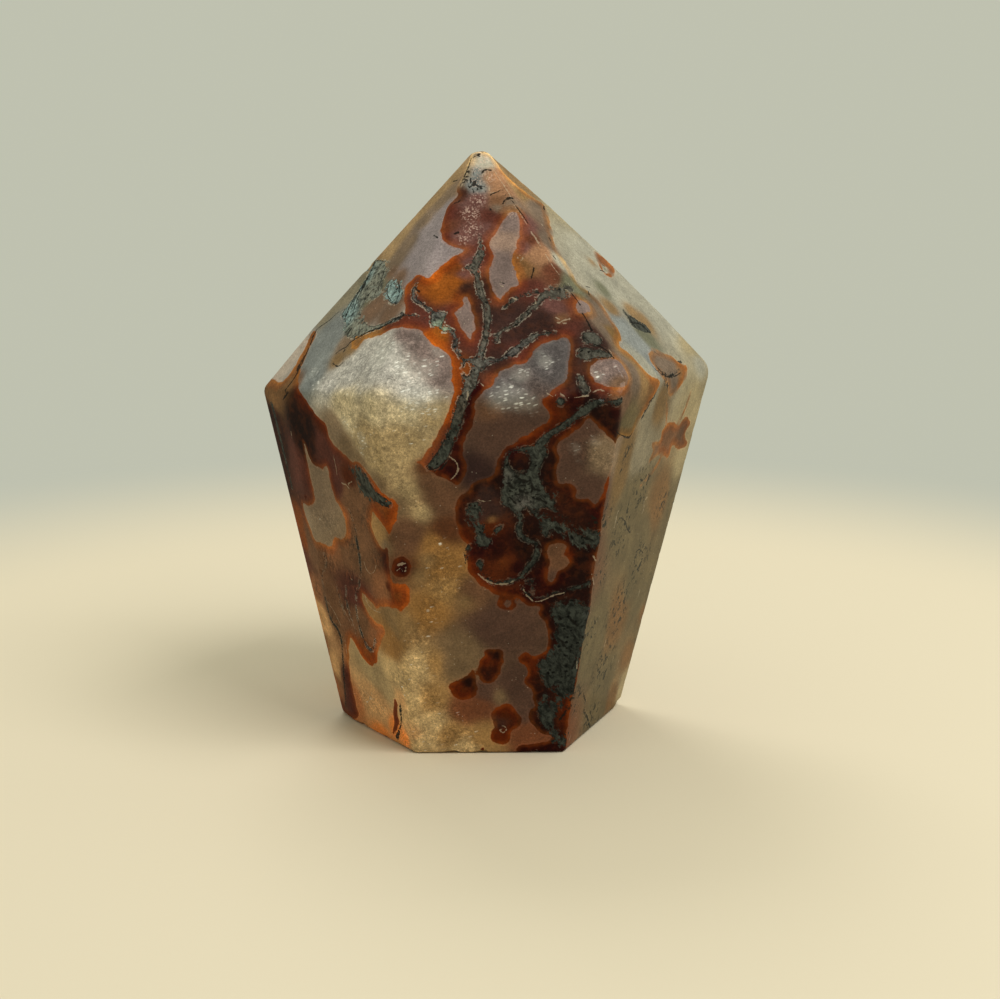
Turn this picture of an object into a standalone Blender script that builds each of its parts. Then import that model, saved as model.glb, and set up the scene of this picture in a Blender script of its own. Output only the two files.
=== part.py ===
# A hand-cut tower of red moss agate: seven body faces that lean outwards as they rise, seven crown faces of
# which six meet in a worn point, edges softened by polishing, and small shell-shaped chips along them.
import math
import random

import bmesh
import bpy
from mathutils import Matrix, Vector

MM = 0.001

# Driving dimensions, in millimetres. x and y are counted from the upright axis under the point.
POINT = (0.0, 0.0, 65.85)  # where the crown faces would meet if the tip were sharp
TIP_HEIGHT = 65.0  # where wear has taken the tip off
TIP_TILT = (-0.16, 0.10, 1.0)  # which way the worn tip faces
BLOCK = 200.0  # side of the rough block that the stone is cut from
SAME_CORNER = 0.02  # corners closer than this are one corner

# Each facet, anticlockwise from above: its first shoulder corner, and the lean of its body face in degrees.
FACETS = (
    ("front", (-10.6, -21.1, 41.1), 10.8),
    ("right", (14.5, -20.6, 40.9), 11.0),
    ("back_right", (27.1, 6.6, 40.3), 10.9),
    ("back", (2.6, 18.4, 41.0), 10.4),
    ("back_left", (-14.6, 18.8, 39.6), 10.6),
    ("left", (-24.7, 0.2, 38.7), 10.6),
    ("front_left", (-21.4, -6.2, 39.3), 10.5),
)

# A crown face goes through its facet's two shoulder corners and the point, except for these two.
# The right one starts a little higher, on a short edge between the front crown and right body faces.
# The left one is small, and ends in a corner of its own below the point.
CROWN_THROUGH = {
    "right": ((15.35, -19.42, 42.28), (27.1, 6.6, 40.3), POINT),
    "left": ((-24.7, 0.2, 38.7), (-21.4, -6.2, 39.3), (-18.7, -0.64, 45.7)),
}

# How far a crown ridge bows outwards along its length. The others are straight.
RIDGE_BOW = {("right crown", "back_right crown"): 0.6}
BOW_STEPS = 4

# How far polishing has rounded each kind of edge, in millimetres
SOFT_SHOULDER = {"right": 1.1, "front": 0.6}
SHOULDER_WEAR = 0.45
RIDGE_WEAR = 0.4
TIP_WEAR = 0.5
BASE_WEAR = 0.35

# Chips that the eye finds: the two faces at their edge, the place along it from 0 to 1, radius and depth
CHIPS = (
    ("front body", "base", 0.24, 3.4, 0.45),
    ("front body", "base", 0.45, 1.6, 0.40),
    ("front body", "base", 0.80, 2.2, 0.30),
    ("right body", "base", 0.98, 2.6, 0.95),
    ("front_left body", "base", 0.18, 1.2, 0.45),
    ("front_left body", "base", 0.55, 2.0, 0.35),
    ("back body", "base", 0.40, 2.8, 0.55),
    ("back_left body", "base", 0.62, 1.9, 0.45),
    ("front crown", "front body", 0.93, 1.3, 0.40),
    ("back_right crown", "back_right body", 0.35, 1.6, 0.40),
    ("front_left crown", "back_left crown", 0.34, 1.3, 0.35),
    ("back_right crown", "back crown", 0.52, 1.4, 0.35),
    ("front body", "right body", 0.42, 2.4, 0.35),
    ("right body", "back_right body", 0.60, 1.3, 0.35),
    ("back body", "back_left body", 0.30, 1.6, 0.35),
)
NICKS = 46  # smaller chips scattered along the edges
NICK_RADIUS = (0.35, 1.0)
NICK_DEPTH = (0.12, 0.28)
NICK_STRETCH = (1.0, 2.6)  # how much longer than wide a chip may be, along its edge
NICK_GAP = 0.5  # left between one chip and the next
NICK_PLACES = (0.04, 0.94)  # the stretch of an edge that nicks may sit on
CHIP_AIM = 30.0  # height of the point on the axis that every chip bites towards
SEED = 7
# Rounded over and free of nicks
CLEAN_EDGES = (("right crown", "back_right crown"), ("right crown", "right body"))

WEAR_SEGMENTS = 3
SHARP_ANGLE = 24.0  # degrees, above which two faces shade as separate facets
COLOUR = (0.25, 0.09, 0.05, 1.0)
ROUGHNESS = 0.18


def clear_scene():
    for item in list(bpy.data.objects):
        bpy.data.objects.remove(item, do_unlink=True)


def body_plane(start, after, lean):
    """A point and the outward normal of the body face under two shoulder corners."""
    along = (after - start).normalized()
    level = along.cross(Vector((0, 0, 1))).normalized()
    downhill = along.cross(level)
    if downhill.z > 0:
        downhill.negate()
    lean = math.radians(lean)
    return start, level * math.cos(lean) + downhill * math.sin(lean)


def facet_planes():
    """Every face of the stone in the order of grinding: its name, a point on it and its outward normal."""
    planes = [("base", Vector((0, 0, 0)), Vector((0, 0, -1)))]
    for index, (name, corner, lean) in enumerate(FACETS):
        after = FACETS[(index + 1) % len(FACETS)][1]
        planes.append((name + " body", *body_plane(Vector(corner), Vector(after), lean)))
    for index, (name, corner, _) in enumerate(FACETS):
        after = FACETS[(index + 1) % len(FACETS)][1]
        first, second, third = map(Vector, CROWN_THROUGH.get(name, (corner, after, POINT)))
        planes.append((name + " crown", first, (second - first).cross(third - first).normalized()))
    planes.append(("tip", Vector((0, 0, TIP_HEIGHT)), Vector(TIP_TILT).normalized()))
    return planes


def cut_stone():
    """The sharp stone, cut from a block. Each face keeps the number of the plane that cut it."""
    shape = bmesh.new()
    bmesh.ops.create_cube(shape, size=BLOCK)
    number = shape.faces.layers.int.new("plane")
    names = ["block"]
    for name, point, normal in facet_planes():
        cut = bmesh.ops.bisect_plane(
            shape,
            geom=shape.verts[:] + shape.edges[:] + shape.faces[:],
            plane_co=point,
            plane_no=normal,
            clear_outer=True,
        )
        rim = [item for item in cut["geom_cut"] if isinstance(item, bmesh.types.BMEdge)]
        for face in bmesh.ops.edgeloop_fill(shape, edges=rim)["faces"]:
            face[number] = len(names)
        names.append(name)
    bmesh.ops.remove_doubles(shape, verts=shape.verts[:], dist=SAME_CORNER)
    bmesh.ops.recalc_face_normals(shape, faces=shape.faces[:])
    return shape, names


def edge_name(edge, shape, names):
    """The names of the two faces that an edge parts, in alphabetical order."""
    number = shape.faces.layers.int["plane"]
    return tuple(sorted(names[face[number]] for face in edge.link_faces))


def edge_ends(edge):
    """The ends of an edge: from the bottom up or, where it is level, anticlockwise from above."""
    one, two = (corner.co.copy() for corner in edge.verts)
    if abs(one.z - two.z) > 0.2 * (one - two).length:
        return (one, two) if one.z < two.z else (two, one)
    return (one, two) if one.cross(two).z > 0 else (two, one)


def bow_ridges(shape, names):
    for pair, bow in RIDGE_BOW.items():
        ridge = next(edge for edge in shape.edges if edge_name(edge, shape, names) == tuple(sorted(pair)))
        start, end = edge_ends(ridge)
        sides = list(ridge.link_faces)
        cut = bmesh.ops.subdivide_edges(shape, edges=[ridge], cuts=BOW_STEPS - 1)
        added = [item for item in cut["geom_inner"] if isinstance(item, bmesh.types.BMVert)]
        along = end - start
        out = Vector((start.x, start.y, 0))
        out = (out - along * out.dot(along) / along.length_squared).normalized()
        for corner in added:
            place = (corner.co - start).length / along.length
            corner.co += out * bow * 4 * place * (1 - place)
        bmesh.ops.triangulate(shape, faces=sides)


def edge_wear(pair):
    """How far the edge between these two faces is rounded."""
    if pair[0] == pair[1]:
        return 0
    if "tip" in pair:
        return TIP_WEAR
    if "base" in pair:
        return BASE_WEAR
    one, two = (name.split() for name in pair)
    if one[0] == two[0]:
        return SOFT_SHOULDER.get(one[0], SHOULDER_WEAR)
    return RIDGE_WEAR


def sharp_mesh(shape, names):
    """The cut stone as a mesh in metres, with the wear of each edge as its bevel weight."""
    weight = shape.edges.layers.float.new("bevel_weight_edge")
    widest = max(SOFT_SHOULDER.values())
    for edge in shape.edges:
        edge[weight] = edge_wear(edge_name(edge, shape, names)) / widest
    bmesh.ops.scale(shape, vec=(MM, MM, MM), verts=shape.verts[:])
    mesh = bpy.data.meshes.new("agate_tower")
    shape.to_mesh(mesh)
    return mesh, widest


def chip_list(edges):
    """Every chip's edge direction, place, radius, stretch and depth: the named ones, then seeded nicks."""
    chips = []
    for one, two, place, radius, depth in CHIPS:
        start, end = edges[tuple(sorted((one, two)))]
        chips.append(((end - start).normalized(), start.lerp(end, place), radius, 1.0, depth))
    chance = random.Random(SEED)
    clean = [tuple(sorted(pair)) for pair in CLEAN_EDGES]
    lines = [edges[pair] for pair in sorted(edges) if pair not in clean and "tip" not in pair]
    lengths = [(end - start).length for start, end in lines]
    while len(chips) < len(CHIPS) + NICKS:
        start, end = chance.choices(lines, weights=lengths)[0]
        spot = start.lerp(end, chance.uniform(*NICK_PLACES))
        radius = chance.uniform(*NICK_RADIUS)
        stretch = chance.uniform(*NICK_STRETCH)
        reach = radius * stretch + NICK_GAP
        if all((spot - other[1]).length > reach + other[2] * other[3] for other in chips):
            chips.append(((end - start).normalized(), spot, radius, stretch, chance.uniform(*NICK_DEPTH)))
    return chips


def chip_cutter(edges):
    """Long round bodies set just outside the edges, so that each takes a shallow shell-shaped bite."""
    aim = Vector((0, 0, CHIP_AIM))
    shape = bmesh.new()
    for along, spot, radius, stretch, depth in chip_list(edges):
        out = spot - aim
        out = (out - along * out.dot(along)).normalized()
        centre = spot + out * (radius - depth)
        turn = along.to_track_quat("X", "Z").to_matrix().to_4x4()
        place = Matrix.Translation(centre * MM) @ turn @ Matrix.Diagonal((stretch, 1, 1, 1))
        bmesh.ops.create_icosphere(shape, subdivisions=2, radius=radius * MM, matrix=place)
    mesh = bpy.data.meshes.new("chips")
    shape.to_mesh(mesh)
    shape.free()
    cutter = bpy.data.objects.new("chips", mesh)
    bpy.context.scene.collection.objects.link(cutter)
    cutter.hide_render = True
    cutter.display_type = "WIRE"
    return cutter


def wear_edges(stone, widest):
    modifier = stone.modifiers.new("worn edges", "BEVEL")
    modifier.limit_method = "WEIGHT"
    modifier.width = widest * MM
    modifier.segments = WEAR_SEGMENTS
    modifier.use_clamp_overlap = True


def chip_edges(stone, cutter):
    modifier = stone.modifiers.new("chips", "BOOLEAN")
    modifier.operation = "DIFFERENCE"
    modifier.solver = "EXACT"
    modifier.object = cutter


def agate_material():
    material = bpy.data.materials.new("red moss agate")
    material.use_nodes = True
    finish = material.node_tree.nodes["Principled BSDF"]
    finish.inputs["Base Color"].default_value = COLOUR
    finish.inputs["Roughness"].default_value = ROUGHNESS
    finish.inputs["Metallic"].default_value = 0.0
    return material


def settle(stone, cutter):
    """Applies the wear and chips, and stands the stone with the middle of its box over the origin."""
    graph = bpy.context.evaluated_depsgraph_get()
    finished = bpy.data.meshes.new_from_object(stone.evaluated_get(graph))
    stone.modifiers.clear()
    stone.data = finished
    bpy.data.objects.remove(cutter, do_unlink=True)
    lowest = [min(vertex.co[axis] for vertex in finished.vertices) for axis in range(3)]
    highest = [max(vertex.co[axis] for vertex in finished.vertices) for axis in range(3)]
    shift = Vector((-(lowest[0] + highest[0]) / 2, -(lowest[1] + highest[1]) / 2, -lowest[2]))
    finished.transform(Matrix.Translation(shift))
    finished.shade_smooth()
    finished.set_sharp_from_angle(angle=math.radians(SHARP_ANGLE))


def main():
    clear_scene()
    bpy.context.scene.unit_settings.scale_length = 1.0
    shape, names = cut_stone()
    edges = {edge_name(edge, shape, names): edge_ends(edge) for edge in shape.edges}
    bow_ridges(shape, names)
    mesh, widest = sharp_mesh(shape, names)
    shape.free()
    stone = bpy.data.objects.new("agate_tower", mesh)
    bpy.context.scene.collection.objects.link(stone)
    wear_edges(stone, widest)
    cutter = chip_cutter(edges)
    chip_edges(stone, cutter)
    settle(stone, cutter)
    stone.data.materials.clear()
    stone.data.materials.append(agate_material())


main()
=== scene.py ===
import math
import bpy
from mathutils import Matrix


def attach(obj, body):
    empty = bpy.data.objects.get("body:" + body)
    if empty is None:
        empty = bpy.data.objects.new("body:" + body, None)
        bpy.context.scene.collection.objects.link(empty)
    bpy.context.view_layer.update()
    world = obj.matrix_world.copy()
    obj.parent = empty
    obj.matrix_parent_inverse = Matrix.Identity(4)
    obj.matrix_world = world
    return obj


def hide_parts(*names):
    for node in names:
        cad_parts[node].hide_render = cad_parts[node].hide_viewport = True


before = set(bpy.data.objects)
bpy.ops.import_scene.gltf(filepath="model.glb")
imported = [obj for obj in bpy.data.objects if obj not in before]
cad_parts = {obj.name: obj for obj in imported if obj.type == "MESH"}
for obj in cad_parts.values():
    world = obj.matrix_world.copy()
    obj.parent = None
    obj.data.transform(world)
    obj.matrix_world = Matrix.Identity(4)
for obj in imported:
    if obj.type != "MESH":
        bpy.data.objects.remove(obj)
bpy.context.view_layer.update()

from types import SimpleNamespace

import bmesh
import bpy
import numpy as np
from mathutils import Vector, noise
from mathutils.bvhtree import BVHTree

print("frame loaded:", sorted(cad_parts))

millimetre = 0.001

# The camera stands where the photograph was taken from. Place in metres, the rest in degrees and millimetres.
camera = {
    "place": (0.001159, -0.17658, 0.06524),
    "tilt": 77.5,
    "focal": 56.88,
    "sensor": 36.0,
}


def makeCamera():
    bpy.ops.object.camera_add(location=camera["place"], rotation=(math.radians(camera["tilt"]), 0, 0))
    view = bpy.context.object
    view.name = "photo_view"
    view.data.sensor_width = camera["sensor"]
    view.data.lens = camera["focal"]
    view.data.clip_start = 0.01
    bpy.context.scene.camera = view


# How a place given on the photograph becomes a place on the stone. All but the last in pixels.
photo = {
    "width": 1000,
    "middle": (500, 500),
    "heart": (487, 430),      # well inside the stone
    "step": 0.5,              # of the walk from a place beside the stone to its edge
    "stepLimit": 240,
    "pixel": 0.1145,          # millimetres of stone that one pixel covers
}


def photoRay(pixel):
    tilt = math.radians(camera["tilt"])
    ahead = camera["focal"] / camera["sensor"] * photo["width"]
    right, down = (value - middle for value, middle in zip(pixel, photo["middle"]))
    return Vector((
        right,
        ahead * math.sin(tilt) - down * math.cos(tilt),
        -down * math.sin(tilt) - ahead * math.cos(tilt),
    ))


def fromPhoto(tree, pixel):
    eye = Vector(camera["place"]) / millimetre
    ray = photoRay(pixel)
    spot = tree.ray_cast(eye, ray)[0]
    walk = (Vector(photo["heart"]) - Vector(pixel)).normalized() * photo["step"]
    for count in range(1, photo["stepLimit"]):
        if spot is not None:
            break
        edge = tree.ray_cast(eye, photoRay(Vector(pixel) + walk * count))[0]
        if edge is not None:  # a place beside the stone takes the depth of the nearest edge
            spot = eye + ray * (edge.y - eye.y) / ray.y
    return spot.x, spot.z


def inMillimetres(points, side, tree):
    if side > 0:
        return points
    return [
        (*fromPhoto(tree, point[:2]), *(size * photo["pixel"] for size in point[2:]))
        for point in points
    ]


# Colours of the minerals, as light reflected in red, green and blue. The side tan, olive and peach are darker
# copies of other shades: painted shade for the side facets
tints = {
    "lavender": (0.299, 0.251, 0.252), "tanGlass": (0.377, 0.252, 0.129),
    "oliveTaupe": (0.233, 0.163, 0.108), "greyGlass": (0.160, 0.156, 0.103),
    "rosyBrown": (0.190, 0.113, 0.070), "paleTaupe": (0.254, 0.215, 0.148),
    "blueGrey": (0.232, 0.240, 0.231), "paleLilac": (0.501, 0.412, 0.340),
    "goldenTan": (0.264, 0.166, 0.076), "druse": (0.502, 0.469, 0.428), "lilac": (0.218, 0.160, 0.144),
    "cream": (0.606, 0.502, 0.334), "creamDeep": (0.411, 0.302, 0.166), "honeyGrey": (0.274, 0.194, 0.125),
    "oliveGrey": (0.209, 0.138, 0.077), "umberHaze": (0.151, 0.075, 0.041),
    "umberRed": (0.112, 0.040, 0.015), "greyDruse": (0.126, 0.109, 0.108),
    "plumBrown": (0.102, 0.054, 0.038), "plum": (0.042, 0.019, 0.017), "lilacPink": (0.320, 0.220, 0.170),
    "creamDark": (0.378, 0.226, 0.091), "creamPale": (0.567, 0.409, 0.219),
    "umberPink": (0.201, 0.074, 0.033), "warmTan": (0.600, 0.360, 0.175),
    "rustOrange": (0.485, 0.197, 0.075), "amber": (0.900, 0.323, 0.083), "paleGlass": (0.353, 0.331, 0.266),
    "whiteCream": (0.360, 0.290, 0.170), "gold": (0.530, 0.493, 0.404), "taupe": (0.191, 0.139, 0.102),
    "peach": (0.369, 0.204, 0.116), "umber": (0.196, 0.101, 0.054), "brickPink": (0.163, 0.076, 0.065),
    "brick": (0.114, 0.038, 0.027), "orangeRed": (0.141, 0.053, 0.030), "deepBrick": (0.051, 0.025, 0.021),
    # the glowing orange is orange iron with a painted glow of light shining through the stone
    "ochre": (0.227, 0.120, 0.050), "glowOrange": (0.308, 0.097, 0.015), "orange": (0.226, 0.066, 0.014),
    "maroon": (0.028, 0.003, 0.003), "burnt": (0.084, 0.017, 0.003), "darkMaroon": (0.017, 0.005, 0.004),
    "blackBrown": (0.034, 0.009, 0.005), "ember": (0.130, 0.030, 0.007), "rustBrown": (0.307, 0.140, 0.067),
    "veinMoss": (0.091, 0.081, 0.066), "paleMoss": (0.095, 0.087, 0.080), "greyMoss": (0.178, 0.176, 0.143),
    "skyMoss": (0.213, 0.282, 0.277), "darkMoss": (0.050, 0.054, 0.046), "blackMoss": (0.034, 0.038, 0.033),
    # darker copies of tan, olive and peach: painted shade for the side facets
    "greenMoss": (0.259, 0.313, 0.230), "sideTan": (0.190, 0.115, 0.045),
    "sideOlive": (0.150, 0.115, 0.060), "sidePeach": (0.200, 0.108, 0.042), "honey": (0.321, 0.170, 0.056),
}

# The front is drawn over the photograph, in pixels across and down. The back is drawn in millimetres across
# and up, as seen through the stone. A third number is a half width or a radius, in the same unit.

# Outlines of the iron stain
ironFront = [
    ("add", "crown and right body", "patch", [
        (480, 146), (494, 160), (506, 176), (522, 190), (536, 200), (545, 207), (549, 220), (553, 238),
        (558, 252), (565, 262), (571, 272), (578, 284), (588, 292), (600, 303), (610, 318), (617, 328),
        (621, 338), (619, 346), (627, 352), (637, 362), (645, 371), (652, 377), (660, 382), (655, 394),
        (649, 405), (642, 416), (636, 426), (630, 437), (620, 437), (616, 443), (613, 462), (609, 480),
        (606, 500), (603, 515), (600, 540), (596, 560), (592, 590), (590, 610), (583, 640), (577, 680),
        (571, 705), (567, 730), (562, 765), (525, 768), (516, 751), (521, 746), (533, 744), (548, 742),
        (553, 737), (545, 735), (537, 731), (531, 724), (528, 716), (530, 710), (535, 706), (533, 698),
        (531, 690), (526, 686), (524, 680), (528, 673), (525, 667), (519, 662), (520, 656), (526, 652),
        (532, 656), (540, 655), (546, 650), (548, 640), (547, 630), (543, 621), (538, 614), (540, 608),
        (530, 606), (520, 601), (511, 597), (500, 596), (491, 592), (483, 587), (476, 582), (470, 574),
        (467, 564), (466, 554), (467, 546), (462, 540), (458, 530), (455, 518), (455, 505), (459, 497),
        (466, 494), (471, 485), (478, 480), (488, 478), (494, 474), (496, 465), (500, 456), (506, 448),
        (513, 444), (520, 439), (529, 434), (539, 428), (546, 423), (550, 418), (547, 412), (543, 407),
        (542, 402), (547, 397), (553, 391), (559, 386), (566, 381), (568, 370), (568, 360), (570, 350),
        (569, 342), (565, 338), (556, 340), (547, 342), (540, 346), (535, 351), (531, 358), (525, 363),
        (517, 365), (508, 369), (500, 373), (495, 380), (492, 386), (484, 392), (477, 399), (475, 406),
        (476, 414), (473, 424), (469, 432), (465, 440), (463, 450), (464, 460), (467, 468), (463, 478),
        (457, 487), (448, 481), (437, 476), (428, 470), (417, 463), (421, 460), (427, 452), (433, 442),
        (440, 430), (445, 419), (449, 408), (452, 398), (453, 388), (452, 375), (451, 362), (448, 355),
        (441, 349), (433, 345), (427, 339), (421, 332), (413, 329), (404, 328), (394, 329), (386, 333),
        (376, 337), (366, 339), (360, 345), (357, 350), (352, 348), (352, 341), (358, 336), (368, 332),
        (380, 328), (390, 322), (400, 318), (405, 312), (404, 300), (405, 288), (411, 281), (417, 275),
        (423, 276), (429, 278), (434, 274), (441, 267), (448, 261), (455, 256), (463, 253), (465, 250),
        (455, 248), (446, 244), (441, 236), (442, 224), (446, 211), (452, 202), (458, 196), (457, 188),
        (463, 176), (470, 158),
    ]),
    ("cut", "long lens", "patch", [
        (510, 213), (504, 221), (499, 231), (492, 238), (490, 245), (493, 252), (494, 258), (491, 265),
        (489, 273), (491, 283), (494, 292), (500, 300), (504, 295), (511, 289), (518, 286), (517, 277),
        (514, 270), (511, 263), (512, 256), (516, 249), (518, 240), (520, 231), (519, 222), (517, 214),
    ]),
    ("cut", "small lens", "patch", [
        (466, 296), (469, 301), (471, 309), (474, 319), (475, 328), (472, 335), (470, 340), (466, 334),
        (461, 328), (457, 318), (455, 314), (460, 310), (464, 306), (463, 300),
    ]),
    ("cut", "body lavender", "patch", [
        (590, 419), (584, 423), (578, 430), (570, 436), (562, 441), (557, 450), (560, 462), (557, 470),
        (556, 478), (561, 484), (570, 484), (577, 490), (577, 498), (588, 500), (596, 505), (602, 494),
        (607, 480), (612, 468), (616, 448), (612, 441), (605, 435), (597, 427),
    ]),
    ("cut", "star", "patch", [
        (551, 545), (562, 544), (566, 548), (563, 555), (570, 562), (566, 568), (559, 571), (554, 580),
        (550, 583), (548, 572), (550, 562), (547, 553),
    ]),
    ("cut", "pinkish druzy", "patch", [
        (596, 362), (606, 360), (616, 360), (624, 368), (628, 378), (624, 386), (612, 387), (600, 385),
        (592, 378), (590, 369),
    ]),
    ("cut", "pink by the ridge", "patch", [
        (581, 301), (588, 305), (590, 311), (583, 314), (577, 311), (577, 305),
    ]),
    ("add", "left body", "patch", [
        (255, 386), (268, 379), (280, 383), (288, 377), (295, 366), (304, 350), (310, 337), (314, 331),
        (316, 335), (308, 352), (300, 371), (299, 385), (301, 393), (306, 401), (312, 409), (318, 417),
        (324, 422), (327, 428), (329, 437), (334, 446), (341, 452), (347, 457), (351, 462), (358, 462),
        (364, 468), (371, 477), (379, 489), (388, 497), (396, 501), (399, 508), (396, 520), (392, 531),
        (386, 540), (388, 552), (389, 563), (390, 575), (395, 588), (400, 600), (402, 607), (393, 609),
        (384, 607), (376, 612), (381, 623), (385, 632), (382, 641), (378, 652), (377, 662), (371, 666),
        (364, 660), (358, 650), (353, 641), (350, 640), (349, 660), (351, 680), (355, 700), (358, 718),
        (345, 716), (335, 700), (318, 640), (303, 575),
    ]),
    ("cut", "left body lavender", "patch", [
        (304, 444), (308, 455), (312, 463), (320, 469), (327, 468), (329, 476), (331, 486), (334, 495),
        (338, 505), (343, 514), (346, 525), (346, 534), (342, 539), (335, 538), (330, 547), (324, 544),
        (315, 541), (311, 530), (307, 520), (303, 505), (309, 506), (313, 505), (315, 498), (312, 486),
        (309, 470),
    ]),
    ("cut", "left foot lens", "patch", [
        (362, 593), (367, 598), (374, 606), (381, 618), (382, 625), (375, 622), (368, 613), (363, 603),
    ]),
    ("cut", "left body beige", "patch", [
        (373, 513), (378, 519), (384, 527), (389, 537), (387, 548), (382, 549), (378, 543), (374, 534),
        (371, 523),
    ]),
    ("add", "front dot", "patch", [
        (392, 566), (396, 559), (403, 558), (410, 563), (411, 571), (405, 578), (397, 577), (392, 572),
    ]),
    ("add", "trail", "patch", [
        (391, 583), (398, 585), (405, 584), (410, 590), (410, 602), (405, 608), (400, 612), (392, 603),
        (388, 592),
    ]),
    ("add", "ring", "disc", [(507, 603, 9)]),
    ("cut", "ring hole", "disc", [(507.5, 604, 3.2)]),
    ("add", "upper blob", "patch", [
        (484, 651), (492, 650), (500, 649), (503, 656), (504, 662), (501, 668), (500, 675), (496, 681),
        (490, 684), (482, 683), (478, 676), (478, 669), (480, 661), (484, 656),
    ]),
    ("add", "leaf", "patch", [
        (449, 687), (455, 681), (462, 679), (468, 674), (473, 669), (476, 675), (476, 684), (477, 690),
        (474, 698), (466, 700), (459, 700), (453, 695),
    ]),
    ("add", "lower blob", "patch", [
        (493, 710), (500, 706), (507, 703), (512, 706), (516, 711), (521, 717), (522, 724), (517, 729),
        (512, 733), (509, 741), (503, 745), (496, 744), (491, 740), (492, 732), (494, 728), (492, 720),
    ]),
    ("add", "foot vein", "patch", [
        (395, 700), (398, 706), (397, 714), (399, 722), (397, 731), (392, 735), (394, 724), (393, 712),
    ]),
    ("add", "right crown patch", "patch", [
        (649, 352), (656, 350), (664, 354), (672, 357), (679, 363), (687, 367), (686, 377), (680, 387),
        (672, 397), (668, 394), (667, 385), (661, 377), (655, 368), (650, 360),
    ]),
    ("add", "rust wedge", "patch", [
        (595, 252), (603, 258), (614, 268), (613, 277), (606, 276), (600, 268), (597, 260),
    ]),
    ("cut", "rust wedge eye", "patch", [
        (602, 266), (607, 268), (608, 273), (604, 273),
    ]),
    ("add", "right body patch", "patch", [
        (648, 464), (653, 452), (652, 443), (660, 441), (663, 430), (671, 422), (678, 425), (686, 417),
        (690, 424), (685, 434), (687, 445), (679, 450), (672, 446), (668, 458), (659, 455),
    ]),
    ("add", "rust streak", "vein", [
        (691, 392, 0.8), (686, 407, 1.6), (680, 420, 1.6), (672, 434, 2.4),
    ]),
    ("add", "rust streak two", "vein", [
        (666, 400, 0.6), (667, 415, 1), (664, 434, 1.6),
    ]),
    ("add", "rust tail", "vein", [
        (662, 455, 1.8), (656, 467, 2.2), (647, 479, 1.8), (640, 487, 0.8),
    ]),
]

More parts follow.
